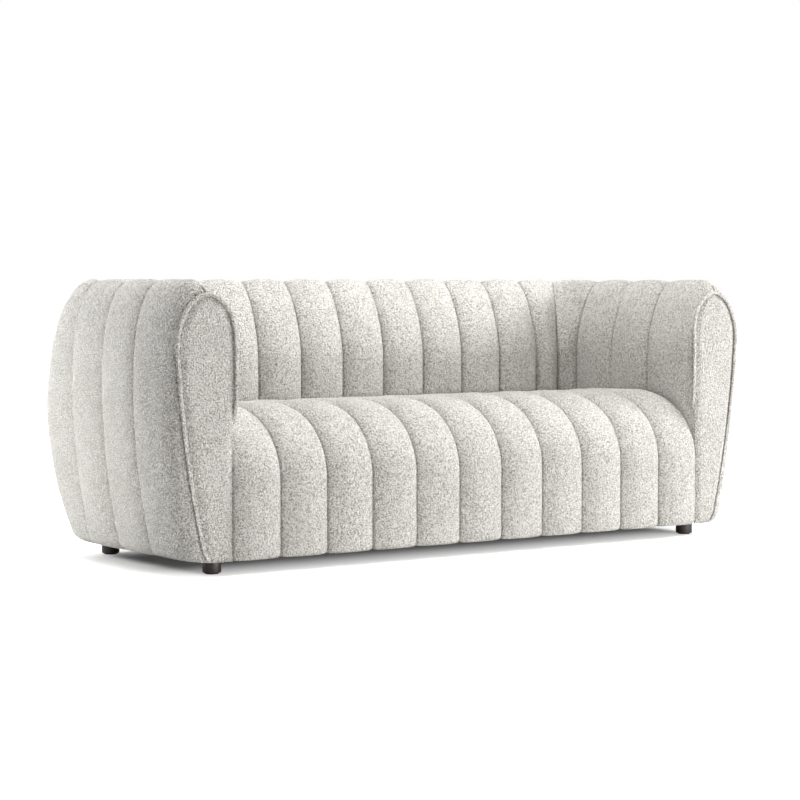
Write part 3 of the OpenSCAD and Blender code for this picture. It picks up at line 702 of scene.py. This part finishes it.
def boucle_material(c):
    """Boucle wool: yarn about 4 mm thick that curls back on itself in short worms, matt and cream,
    with painted shade in the gaps between the curls, lighter tops, and a little unevenness from
    place to place."""
    tree, shader = new_material("boucle_wool")
    coords = add_node(tree, "ShaderNodeTexCoord").outputs["Object"]

    def curls(scale, turns):
        """Bands that run where a smooth noise is level: about as wide as the yarn."""
        field = add_node(tree, "ShaderNodeTexNoise",
                         {"Vector": coords, "Scale": scale, "Detail": 0.6, "Roughness": 0.5})
        wave = add_node(tree, "ShaderNodeMath", {0: field.outputs["Fac"], 1: turns * 2 * math.pi},
                        operation="MULTIPLY")
        return add_node(tree, "ShaderNodeMath", {0: wave.outputs[0]}, operation="SINE").outputs[0]

    both = add_node(tree, "ShaderNodeMath", {0: curls(*CURLS[0]), 1: curls(*CURLS[1])},
                    operation="ADD")
    combed = add_node(tree, "ShaderNodeAttribute", attribute_name="combed").outputs["Fac"]
    pile = add_node(tree, "ShaderNodeMapRange",
                    {"Value": combed, "To Min": PILE_LOOSE, "To Max": PILE_COMBED})
    height = add_node(tree, "ShaderNodeMath", {0: both.outputs[0], 1: pile.outputs[0], 2: 0.5},
                      operation="MULTIPLY_ADD", use_clamp=True)
    fuzz = add_node(tree, "ShaderNodeTexNoise",
                    {"Vector": coords, "Scale": FUZZ_SCALE, "Detail": 1.0})
    tone = add_node(tree, "ShaderNodeTexNoise",
                    {"Vector": coords, "Scale": TONE_SCALE, "Detail": 3.0})
    fuzzy = add_node(tree, "ShaderNodeMath",
                     {0: fuzz.outputs["Fac"], 1: FUZZ_SHARE, 2: height.outputs[0]},
                     operation="MULTIPLY_ADD")
    toned = add_node(tree, "ShaderNodeMath",
                     {0: tone.outputs["Fac"], 1: TONE_SHARE, 2: fuzzy.outputs[0]},
                     operation="MULTIPLY_ADD")
    # Painted shade at the seams, at the edges of the front pads and welts, and over the arms'
    # fronts
    seam = add_node(tree, "ShaderNodeAttribute", attribute_name="seam_shade")
    shaded = add_node(tree, "ShaderNodeMath",
                      {0: seam.outputs["Fac"], 1: -SEAM_SHARE, 2: toned.outputs[0]},
                      operation="MULTIPLY_ADD")
    # The ramp follows the bump's heights: painted shade in the gaps between the curls and lighter
    # tops; the hairs and patches add the yarn's own uneven tone
    ramp = add_node(tree, "ShaderNodeValToRGB", {"Fac": shaded.outputs[0]})
    set_stops(ramp, [(0.0, c.yarn_painted_shade), (0.4, c.yarn_pit), (0.75, c.yarn_middle),
                     (1.0, c.yarn_top)])
    bump = add_node(tree, "ShaderNodeBump",
                    {"Strength": 1.0, "Distance": PILE_DEEP, "Height": fuzzy.outputs[0]})
    tree.links.new(ramp.outputs["Color"], shader.inputs["Base Color"])
    tree.links.new(bump.outputs["Normal"], shader.inputs["Normal"])
    shader.inputs["Roughness"].default_value = 0.95
    shader.inputs["Specular IOR Level"].default_value = 0.15
    shader.inputs["Sheen Weight"].default_value = 0.25
    shader.inputs["Sheen Roughness"].default_value = 0.6


def grain_material(name, light, dark, scale, roughness, metallic=0.0, places=(0.3, 0.7),
                   strength=0.3, depth=0.0003):
    """A finish of two tones in streaks or grains, with so many per metre each way, the places of
    dark and light in the noise, and the strength and depth of their bump. Returns its shader."""
    tree, shader = new_material(name)
    coords = add_node(tree, "ShaderNodeTexCoord").outputs["Object"]
    stretched = add_node(tree, "ShaderNodeMapping", {"Vector": coords, "Scale": scale})
    grain = add_node(tree, "ShaderNodeTexNoise",
                     {"Vector": stretched.outputs[0], "Scale": 1.0, "Detail": 4.0})
    ramp = add_node(tree, "ShaderNodeValToRGB", {"Fac": grain.outputs["Fac"]})
    set_stops(ramp, [(places[0], dark), (places[1], light)])
    bump = add_node(tree, "ShaderNodeBump",
                    {"Strength": strength, "Distance": depth, "Height": grain.outputs["Fac"]})
    tree.links.new(ramp.outputs["Color"], shader.inputs["Base Color"])
    tree.links.new(bump.outputs["Normal"], shader.inputs["Normal"])
    shader.inputs["Roughness"].default_value = roughness
    shader.inputs["Metallic"].default_value = metallic
    return shader


def darker(shade, amount):
    """A colour with a share of its light."""
    return tuple(v * amount for v in shade)


# Which finish each slot of the record takes
FINISHES = {
    "boucle_cover": "boucle_wool", "boucle_welt": "boucle_wool", "foam": "upholstery_foam",
    "lining_cloth": "woven_lining", "webbing": "woven_lining", "spring_steel": "spring_steel",
    "zinc_fixings": "zinc_plate", "beech_dowel": "sawn_timber", "foot_stain": "stained_beech",
    "glide": "felt_glide", "hardboard": "pressed_hardboard", "plywood": "sawn_timber",
    "frame_timber": "sawn_timber",
}


class SOFA_OT_materials(bpy.types.Operator):
    """Makes the finishes and gives each CAD node the one of its slot"""
    bl_idname = "sofa.materials"
    bl_label = "Materials"

    def execute(self, context):
        c = context.scene.sofa_colours
        boucle_material(c)
        # Beech turned on a lathe and stained nearly black, with a satin lacquer: faint upright
        # grain 1.4 mm wide, and a soft highlight
        stain = grain_material("stained_beech", c.foot_grain, c.foot, (700, 700, 40), 0.42,
                               places=(0.35, 0.75), strength=0.15, depth=0.0004)
        stain.inputs["Coat Weight"].default_value = 0.2
        stain.inputs["Coat Roughness"].default_value = 0.3
        # Softwood and plywood, sawn: streaks 3 mm wide along the sofa
        grain_material("sawn_timber", c.wood, c.wood_grain, (40, 330, 330), 0.7)
        # Hardboard, pressed from fibre: a fine dark mottle
        grain_material("pressed_hardboard", c.board, darker(c.board, 0.7), (500, 500, 500), 0.6)
        # Woven lining: threads about 1 mm apart
        grain_material("woven_lining", c.cloth, darker(c.cloth, 0.6), (900, 900, 900), 0.9)
        # Polyurethane foam: cells about 2 mm wide
        grain_material("upholstery_foam", c.foam, darker(c.foam, 0.75), (500, 500, 500), 0.9)
        # Drawn spring wire with an oily grey skin: marks about 3 mm wide
        grain_material("spring_steel", c.steel, darker(c.steel, 0.7), (300, 300, 300), 0.35, 1.0)
        # Zinc plate: bright grains about 1.7 mm wide
        grain_material("zinc_plate", c.zinc, darker(c.zinc, 0.8), (600, 600, 600), 0.3, 1.0)
        # Pressed felt: tufts about 1 mm wide
        grain_material("felt_glide", c.felt, darker(c.felt, 0.7), (900, 900, 900), 0.95)
        slots = {part["node"]: part["material_slot"] for part in frame["record"]["subparts"]}
        for name, thing in frame["nodes"].items():
            thing.data.materials.clear()
            thing.data.materials.append(bpy.data.materials[FINISHES[slots[name]]])
        return {"FINISHED"}


# Pieces

def finish_piece(piece, node, slot):
    """Puts a new piece in its CAD node's place, in its slot's finish."""
    piece.data.materials.clear()
    piece.data.materials.append(bpy.data.materials[FINISHES[slot]])
    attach(piece, "root")
    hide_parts(node)


class SOFA_OT_seat(bpy.types.Operator):
    """Builds the seat's quilted cover, which rolls over the front edge"""
    bl_idname = "sofa.seat"
    bl_label = "Seat"

    def execute(self, context):
        s = context.scene.sofa_sizes
        half = seat_x(s) - GAP
        rings, skin, seams, painted_shades = [], 0, [], []
        for i in range(s.channels):
            for u in round_steps(COLUMNS)[1 if i else 0:]:
                x = min(half, max(-half, seat_x(s) - (i + u) * s.channel))
                ring, skin = seat_ring(s, x, puff_at(u))
                if u in (0, 1):
                    seams.append(len(rings))
                rings.append(ring)
                # Painted shade beside each seam of the seat
                painted_shades += [seam_shade(puff_at(u))] * len(ring)
        piece = swept("seat_quilt", rings, skin, seams, seam_shade=painted_shades)
        finish_piece(piece, "seat_panel", "boucle_cover")
        return {"FINISHED"}


class SOFA_OT_back(bpy.types.Operator):
    """Builds the back's quilted cover, from the seat over the top to the lower edge"""
    bl_idname = "sofa.back"
    bl_label = "Back"

    def execute(self, context):
        s = context.scene.sofa_sizes
        piece = wrap_cover(s, "back_quilt", back_stations(s), s.back_puff)
        finish_piece(piece, "back_cover", "boucle_cover")
        return {"FINISHED"}


class SOFA_OT_arms(bpy.types.Operator):
    """Builds the quilted covers of both arms and the fanned channels of the rear corners"""
    bl_idname = "sofa.arms"
    bl_label = "Arms"

    def execute(self, context):
        s = context.scene.sofa_sizes
        for side, turned in (("right", list), ("left", mirrored)):
            arm = wrap_cover(s, side + "_arm_quilt", turned(arm_stations(s)), s.arm_puff)
            finish_piece(arm, side + "_arm_cover", "boucle_cover")
            corner = wrap_cover(s, side + "_corner_quilt", turned(corner_stations(s)), s.arm_puff)
            finish_piece(corner, side + "_corner_gusset", "boucle_cover")
        return {"FINISHED"}


# Fronts of the arms

# How far over the seat's seams its channels hide the front seam, and the height in which they do
HIDE_ABOVE = 0.05
HIDE_HEIGHT = 0.09

# Front pad: points down and across, points along its edge, height of its crown at the edge and how
# much more it has in the middle, how far in that is, how soon it rises from the lower edge, and the
# power of its curve
PAD_ROWS = 120
PAD_COLUMNS = 22
PAD_EDGE = 600
PAD_BASE = 0.0018
PAD_CROWN = 0.0077
PAD_SLOPE = 0.02
PAD_FOOT = 1.2
PAD_CURVE = 1.5

# Height and length of the pad's unevenness, its painted shade by the welt and how far that reaches
PAD_WRINKLE = 0.0012
PAD_WAVE = 0.09
PAD_SHADE = 0.35
SHADE_REACH = 0.006

# Welt: how far out it lies, points along it and round it, its lower end's height over the edge, how
# square it is, and the share of its rise where it lies flat
WELT_OUT = 0.005
WELT_STEPS = 420
WELT_SIDES = 20
WELT_FOOT = 0.006
WELT_SQUARE = 0.8
WELT_LOW = 0.2

# How much prouder the welt's inner side is, and the steps from its top in which it becomes so, how
# far it sinks beside the seat, and the height and length of its unevenness
WELT_PROUD = 0.005
PROUD_STEPS = 60
WELT_HIDE = 0.009
WELT_WRINKLE = 0.06
WELT_WAVE = 0.02

# Share of the welt's width where the painted shade along its seams starts, and that painted shade
# where it lies flat and where it stands
WELT_EDGE = 0.6
WELT_SHADES = (0.1, 0.3)


def front_path(s, inset):
    """Points across and up of an arm's front seam, moved in, from its inside foot outwards."""
    return np.array([row_point(s, row, 0, 1, inset) for row in wrap_rows(s, s.skirt, 0, s.arm)])


def resampled(points, count):
    """Points evenly spaced along a path."""
    steps = np.r_[0, np.cumsum(np.linalg.norm(np.diff(points, axis=0), axis=1))]
    wanted = np.linspace(0, steps[-1], count)
    return np.stack([np.interp(wanted, steps, points[:, i]) for i in range(2)], axis=1)


def hidden_at(s, heights):
    """How much the seat hides the inner side of an arm's front at these heights, from 0 to 1."""
    return np.clip((s.seat_height + HIDE_ABOVE - heights) / HIDE_HEIGHT, 0, 1)


def front_pad(s, side, name):
    """The padded panel that closes an arm's front, crowned inside its welt."""
    path = front_path(s, s.welt - WELT_OUT + GAP)
    top = int(np.argmax(path[:, 1]))
    hidden = hidden_at(s, path[:top, 1])
    path[:top, 0] -= (s.welt - WELT_OUT + s.drop_inside) * hidden * hidden * (3 - 2 * hidden)
    inner, outer = resampled(path[:top + 1], PAD_ROWS), resampled(path[top:][::-1], PAD_ROWS)
    edge = resampled(path, PAD_EDGE)
    front, shade = [], []
    for j in range(PAD_ROWS):
        for u in round_steps(PAD_COLUMNS):
            a, z = mix(inner[j], outer[j], u)
            near = float(np.min(np.hypot(edge[:, 0] - a, edge[:, 1] - z)))
            near = min(near, (z - s.skirt) * PAD_FOOT)
            rise = min(1, near / PAD_SLOPE)
            crown = PAD_BASE + PAD_CROWN * math.sin(math.pi / 2 * rise) ** PAD_CURVE
            place = (seat_x(s) + a, front_y(s) - crown, z)
            crown += PAD_WRINKLE * unevenness(place, PAD_WAVE) * rise
            front.append((side * place[0], front_y(s) - crown, z))
            # Painted shade at the pad's edge, in the groove beside the welt
            shade.append(PAD_SHADE * math.exp(-near / SHADE_REACH))
    back = [(x, front_y(s) - GAP, z) for x, _, z in front]
    faces = slab_faces(PAD_ROWS, PAD_COLUMNS + 1)
    return outward(add_object(name, front + back, faces, seam_shade=shade + shade))


def welt_tube(s, side, name):
    """The flat welt sewn into an arm's front seam: a soft band between two seams."""
    path = resampled(front_path(s, s.welt / 2 - WELT_OUT), WELT_STEPS)
    path = path[path[:, 1] > s.skirt + WELT_FOOT]
    apex = int(np.argmax(path[:, 1]))
    hidden = hidden_at(s, path[:, 1])
    hidden[apex:] = 0
    ways = np.gradient(path, axis=0)
    ways /= np.linalg.norm(ways, axis=1)[:, None]
    proud = np.clip((apex - np.arange(len(path))) / PROUD_STEPS, 0, 1) * (1 - hidden) * WELT_PROUD
    wide, deep = s.welt / 2 - GAP, s.welt_rise / 2
    points, shade = [], []
    for (a, z), (wa, wz), sunk, more in zip(path, ways, hidden, proud):
        stands = clamp((z - WELT_FLAT) / WELT_FADE)
        swell = mix(WELT_LOW, 1, stands) * (1 + WELT_WRINKLE * unevenness((a, 0, z), WELT_WAVE))
        for k in range(WELT_SIDES):
            turn = 2 * math.pi * k / WELT_SIDES
            across = wide * math.copysign(abs(math.cos(turn)) ** WELT_SQUARE, math.cos(turn))
            out = deep * math.copysign(abs(math.sin(turn)) ** WELT_SQUARE, math.sin(turn)) * swell
            points.append((side * (seat_x(s) + a - wz * across),
                           front_y(s) - deep - GAP - out + WELT_HIDE * sunk - more,
                           z + wa * across))
            # Painted shade along the welt's two seams
            beside = max(0, (abs(across) / wide - WELT_EDGE) / (1 - WELT_EDGE))
            shade.append(beside * mix(*WELT_SHADES, stands))
    faces = tube_faces(len(path), WELT_SIDES) + end_faces(len(path), WELT_SIDES)
    return outward(add_object(name, points, faces, seam_shade=shade))


class SOFA_OT_fronts(bpy.types.Operator):
    """Builds the padded panels and the welts at the front of the arms"""
    bl_idname = "sofa.fronts"
    bl_label = "Arm fronts"

    def execute(self, context):
        s = context.scene.sofa_sizes
        for side, way in (("left", -1), ("right", 1)):
            finish_piece(front_pad(s, way, side + "_front_pad"), side + "_front_panel",
                         "boucle_cover")
            finish_piece(welt_tube(s, way, side + "_welt_cord"), side + "_front_welt",
                         "boucle_welt")
        return {"FINISHED"}


# Feet

FEET = ("front_left_foot", "front_right_foot", "rear_left_foot", "rear_right_foot")

# Points round a foot, the easing of its edges, and the height that its bevel's shading ends at
FOOT_SIDES = 72
FOOT_EASE = 0.001
FOOT_BAND = 0.02


class SOFA_OT_feet(bpy.types.Operator):
    """Turns the four round feet"""
    bl_idname = "sofa.feet"
    bl_label = "Feet"

    def execute(self, context):
        s = context.scene.sofa_sizes
        r, b = s.foot / 2, s.foot_bevel
        for node in FEET:
            low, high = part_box(node)
            middle = [(low[i] + high[i]) / 2 for i in (0, 1)]
            outline = [(0, low[2]), (r - b - FOOT_EASE, low[2])]
            for degrees in range(0, 91, 15):
                turn = math.radians(degrees)
                outline.append((r - b + b * math.sin(turn), low[2] + b - b * math.cos(turn)))
            outline += [(r, low[2] + FOOT_BAND), (r, high[2] - FOOT_EASE),
                        (r - FOOT_EASE, high[2]), (0, high[2])]
            points = []
            for radius, z in outline:
                for k in range(FOOT_SIDES):
                    turn = 2 * math.pi * k / FOOT_SIDES
                    points.append((middle[0] + radius * math.cos(turn),
                                   middle[1] + radius * math.sin(turn), z))
            faces = tube_faces(len(outline), FOOT_SIDES)
            finish_piece(outward(add_object(node + "_turned", points, faces)), node, "foot_stain")
        return {"FINISHED"}


# Soft pieces inside

# Foam: voxel of its remesh, and rounds of smoothing
FOAM_VOXEL = 0.008
FOAM_ROUNDS = 6

# Deck cloth: cells across and along, height and count of the waves that the springs press into it
DECK_CELLS = (160, 54)
DECK_WAVE = 0.0004
DECK_WAVES = 22

# Dust cover: cells, how far it sags in each bay of the frame, the bays, and how many times wider a
# foot is than the radius of its hole
DUST_CELLS = (180, 64)
DUST_SAG = 0.005
BAYS = 3
FOOT_TO_HOLE = 3

# Webbing: cells across and up, height and count of its waves, where its selvedge starts, and the
# thickness of the weave and of the very edge
STRAP_CELLS = (220, 12)
STRAP_WAVE = 0.0008
STRAP_WAVES = 9
SELVEDGE = 0.8
WEAVE_THICK = 0.7
EDGE_THICK = 0.6


def foam_block(name, node):
    """A copy of the foam's solid with its cut edges rounded off."""
    block = bpy.data.objects.new(name, frame["nodes"][node].data.copy())
    bpy.context.scene.collection.objects.link(block)
    remesh = block.modifiers.new("remesh", "REMESH")
    remesh.mode = "VOXEL"
    remesh.voxel_size = FOAM_VOXEL
    smooth = block.modifiers.new("smooth", "SMOOTH")
    smooth.iterations = FOAM_ROUNDS
    graph = bpy.context.evaluated_depsgraph_get()
    block.data = bpy.data.meshes.new_from_object(block.evaluated_get(graph))
    block.modifiers.clear()
    block.data.shade_smooth()
    return block


def thin_cloth(name, low, high, cells, height, holes=()):
    """A closed thin cloth between two corners: its height changes with the shares across and
    along, and it leaves out the cells round the holes."""
    across, along = cells
    places = [(mix(low[0], high[0], j / across), mix(low[1], high[1], k / along),
               height(j / across, k / along)) for j in range(across + 1) for k in range(along + 1)]
    faces = []
    for j in range(across):
        for k in range(along):
            a = j * (along + 1) + k
            middle = mix(Vector(places[a]), Vector(places[a + along + 2]), 0.5)
            if all((middle.xy - centre).length > radius for centre, radius in holes):
                faces.append((a, a + along + 1, a + along + 2, a + 1))
    cloth = add_object(name, places, faces)
    solid = cloth.modifiers.new("thickness", "SOLIDIFY")
    solid.thickness = high[2] - low[2]
    solid.offset = 0
    return cloth


def webbing_straps(name, node):
    """The two woven straps across the back's ribs, with thick selvedges and a slight wave."""
    solid = frame["nodes"][node].data
    levels = sorted({round(corner.co.z, 4) for corner in solid.vertices})
    low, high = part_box(node)
    middle, thick = (low[1] + high[1]) / 2, high[1] - low[1]
    across, up = STRAP_CELLS
    points, faces = [], []
    for bottom, top in (levels[:2], levels[2:]):
        faces += slab_faces(across + 1, up + 1, len(points))
        for front in (-1, 1):
            for j in range(across + 1):
                x = mix(low[0], high[0], j / across)
                wave = STRAP_WAVE * math.sin(STRAP_WAVES * math.pi * j / across)
                for k in range(up + 1):
                    edge = abs(2 * k / up - 1)
                    half = thick / 2 * (1 if edge > SELVEDGE else WEAVE_THICK)
                    half *= 1 if edge < 1 else EDGE_THICK
                    points.append((x, middle + front * half, mix(bottom, top, k / up) + wave))
    return outward(add_object(name, points, faces))


class SOFA_OT_inside(bpy.types.Operator):
    """Builds the soft pieces inside: seat foam, deck cloth, dust cover and the back's webbing"""
    bl_idname = "sofa.inside"
    bl_label = "Inside"

    def execute(self, context):
        s = context.scene.sofa_sizes
        finish_piece(foam_block("seat_foam_block", "seat_foam_core"), "seat_foam_core", "foam")

        low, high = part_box("deck_cloth")
        level = (low[2] + high[2]) / 2
        deck = thin_cloth("deck_sheet", low, high, DECK_CELLS,
                          lambda u, v: level + DECK_WAVE * math.sin(DECK_WAVES * math.pi * u))
        finish_piece(deck, "deck_cloth", "lining_cloth")

        low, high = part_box("dust_cover")
        top = (low[2] + high[2]) / 2
        holes = []
        for node in FEET:
            corner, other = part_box(node)
            holes.append((mix(Vector(corner), Vector(other), 0.5).xy, s.foot / FOOT_TO_HOLE))
        dust = thin_cloth("dust_sheet", low, high, DUST_CELLS,
                          lambda u, v: top - DUST_SAG * math.sin(BAYS * math.pi * u) ** 2
                          * math.sin(math.pi * v), holes)
        finish_piece(dust, "dust_cover", "lining_cloth")

        finish_piece(webbing_straps("webbing_straps", "back_webbing"), "back_webbing", "webbing")
        return {"FINISHED"}


# Stage

# Camera: its place, its turn and tilt down in degrees, its lens and the sensor's width in mm
CAMERA_PLACE = (-3.914, -5.438, 0.7512)
CAMERA_YAW = -35.7075
CAMERA_PITCH = 2.8865
CAMERA_LENS = 104.3
CAMERA_SENSOR = 36

# Shades of the softboxes
WARM = (1, 0.99, 0.97)
COOL = (0.975, 0.995, 1)

# Softboxes: name, place, what it points at, size, watts, shade
LIGHTS = (
    ("key", (3.4, -1.3, 1.7), (-0.6, 0.2, 0.5), (0.8, 0.8), 113, COOL),
    ("low_front", (0.6, -6.5, 0.9), (0, 0, 0.4), (2.5, 1.2), 96, WARM),
    ("front_right", (3.0, -5.8, 1.0), (0, 0, 0.4), (2.0, 1.2), 147, WARM),
    ("overhead", (0, 0, 4.0), (0, 0, 0), (3, 2), 214, WARM),
    ("rear_left", (-2.2, 1.4, 0.9), (-1.0, 0.3, 0.4), (0.5, 0.5), 33, COOL),
    ("behind", (1.0, 5.0, 2.4), (0, 0.3, 0.4), (3, 2), 100, WARM),
)

# Light of the white backdrop on the sofa
FILL = 0.1

# Floor: half its width, and the scale per metre and strength of its mottle
FLOOR_HALF = 30
MOTTLE_SCALE = 0.8
MOTTLE_LIGHT = 1.01

# The floor's painted glow, seen only by the camera, is GLOW_UNDER inside the footprint, a box of
# these half sizes, and grows to plain white in GLOW_REACH from it, which paints a soft shadow under
# and beside the sofa
FOOTPRINT = (0.8, 0.1, 0)
GLOW_REACH = 0.45
GLOW_UNDER = 0.04


def soft_light(name, place, target, size, power, shade):
    """A softbox that points at its target."""
    data = bpy.data.lights.new(name, "AREA")
    data.shape = "RECTANGLE"
    data.size, data.size_y = size
    data.energy = power
    data.color = shade
    light = bpy.data.objects.new(name, data)
    light.location = place
    way = Vector(target) - light.location
    light.rotation_euler = way.to_track_quat("-Z", "Y").to_euler()
    bpy.context.scene.collection.objects.link(light)


def floor_material(c):
    """Matt white paint that a painted glow, seen only by the camera, washes out to plain white away
    from the sofa, leaving a painted soft shadow under and beside it.
    """
    tree, shader = new_material("painted_floor")
    coords = add_node(tree, "ShaderNodeTexCoord").outputs["Object"]
    mottle = add_node(tree, "ShaderNodeTexNoise", {"Vector": coords, "Scale": MOTTLE_SCALE})
    ramp = add_node(tree, "ShaderNodeValToRGB", {"Fac": mottle.outputs["Fac"]})
    set_stops(ramp, [(0.3, c.floor), (0.7, tuple(min(1, v * MOTTLE_LIGHT) for v in c.floor))])
    tree.links.new(ramp.outputs["Color"], shader.inputs["Base Color"])
    shader.inputs["Roughness"].default_value = 0.9
    away = add_node(tree, "ShaderNodeVectorMath", {0: coords}, operation="ABSOLUTE")
    away = add_node(tree, "ShaderNodeVectorMath", {0: away.outputs[0], 1: FOOTPRINT},
                    operation="SUBTRACT")
    away = add_node(tree, "ShaderNodeVectorMath", {0: away.outputs[0], 1: (0, 0, 0)},
                    operation="MAXIMUM")
    away = add_node(tree, "ShaderNodeVectorMath", {0: away.outputs[0]}, operation="LENGTH")
    painted_glow = add_node(tree, "ShaderNodeMapRange",
                    {"Value": away.outputs["Value"], "From Max": GLOW_REACH, "To Min": GLOW_UNDER},
                    interpolation_type="SMOOTHSTEP")
    # Only the camera sees the painted glow, so it lights nothing
    seen = add_node(tree, "ShaderNodeLightPath").outputs["Is Camera Ray"]
    painted_glow = add_node(tree, "ShaderNodeMath", {0: painted_glow.outputs[0], 1: seen}, operation="MULTIPLY")
    shader.inputs["Emission Color"].default_value = (1, 1, 1, 1)
    tree.links.new(painted_glow.outputs[0], shader.inputs["Emission Strength"])


def white_world():
    """A plain white backdrop that adds only a little light of its own."""
    world = bpy.data.worlds.new("studio")
    world.use_nodes = True
    tree = world.node_tree
    tree.nodes.clear()
    seen = add_node(tree, "ShaderNodeLightPath").outputs["Is Camera Ray"]
    strength = add_node(tree, "ShaderNodeMapRange", {"Value": seen, "To Min": FILL})
    backdrop = add_node(tree, "ShaderNodeBackground",
                        {"Color": (1, 1, 1, 1), "Strength": strength.outputs[0]})
    add_node(tree, "ShaderNodeOutputWorld", {"Surface": backdrop.outputs[0]})
    return world


class SOFA_OT_stage(bpy.types.Operator):
    """Lays the pale floor, hangs the soft lights and stands the camera"""
    bl_idname = "sofa.stage"
    bl_label = "Stage"

    def execute(self, context):
        c = context.scene.sofa_colours
        floor_material(c)
        half = FLOOR_HALF
        floor = add_object("floor", [(-half, -half, 0), (half, -half, 0), (half, half, 0),
                                     (-half, half, 0)], [(0, 1, 2, 3)])
        floor.data.materials.append(bpy.data.materials["painted_floor"])
        context.scene.world = white_world()
        for name, place, target, size, power, shade in LIGHTS:
            soft_light(name, place, target, size, power, shade)
        context.scene.view_settings.view_transform = "Standard"

        camera = bpy.data.objects.new("camera", bpy.data.cameras.new("camera"))
        camera.location = CAMERA_PLACE
        camera.rotation_euler = (math.radians(90 - CAMERA_PITCH), 0, math.radians(CAMERA_YAW))
        camera.data.lens = CAMERA_LENS
        camera.data.sensor_width = CAMERA_SENSOR
        context.scene.collection.objects.link(camera)
        context.scene.camera = camera
        return {"FINISHED"}


class SOFA_PT_panel(bpy.types.Panel):
    """Lists the sofa's sizes, colours and steps"""
    bl_idname = "SOFA_PT_panel"
    bl_label = "Tuxedo Sofa"
    bl_space_type = "VIEW_3D"
    bl_region_type = "UI"
    bl_category = "Sofa"

    def draw(self, context):
        for group in (context.scene.sofa_sizes, context.scene.sofa_colours):
            for key in group.__annotations__:
                self.layout.prop(group, key)
        for step in STEPS:
            self.layout.operator(step.bl_idname)


STEPS = (SOFA_OT_materials, SOFA_OT_seat, SOFA_OT_back, SOFA_OT_arms, SOFA_OT_fronts, SOFA_OT_feet,
         SOFA_OT_inside, SOFA_OT_stage)
CLASSES = (SofaSizes, SofaColours) + STEPS + (SOFA_PT_panel,)


def register():
    """Registers the classes and gives the scene its settings."""
    for kind in CLASSES:
        bpy.utils.register_class(kind)
    bpy.types.Scene.sofa_sizes = PointerProperty(type=SofaSizes)
    bpy.types.Scene.sofa_colours = PointerProperty(type=SofaColours)


def unregister():
    """Takes the settings from the scene and unregisters the classes."""
    del bpy.types.Scene.sofa_colours
    del bpy.types.Scene.sofa_sizes
    for kind in reversed(CLASSES):
        bpy.utils.unregister_class(kind)


def main():
    """Builds everything in order."""
    register()
    for step in (bpy.ops.sofa.materials, bpy.ops.sofa.seat, bpy.ops.sofa.back, bpy.ops.sofa.arms,
                 bpy.ops.sofa.fronts, bpy.ops.sofa.feet, bpy.ops.sofa.inside, bpy.ops.sofa.stage):
        step()


if __name__ == "__main__":
    main()
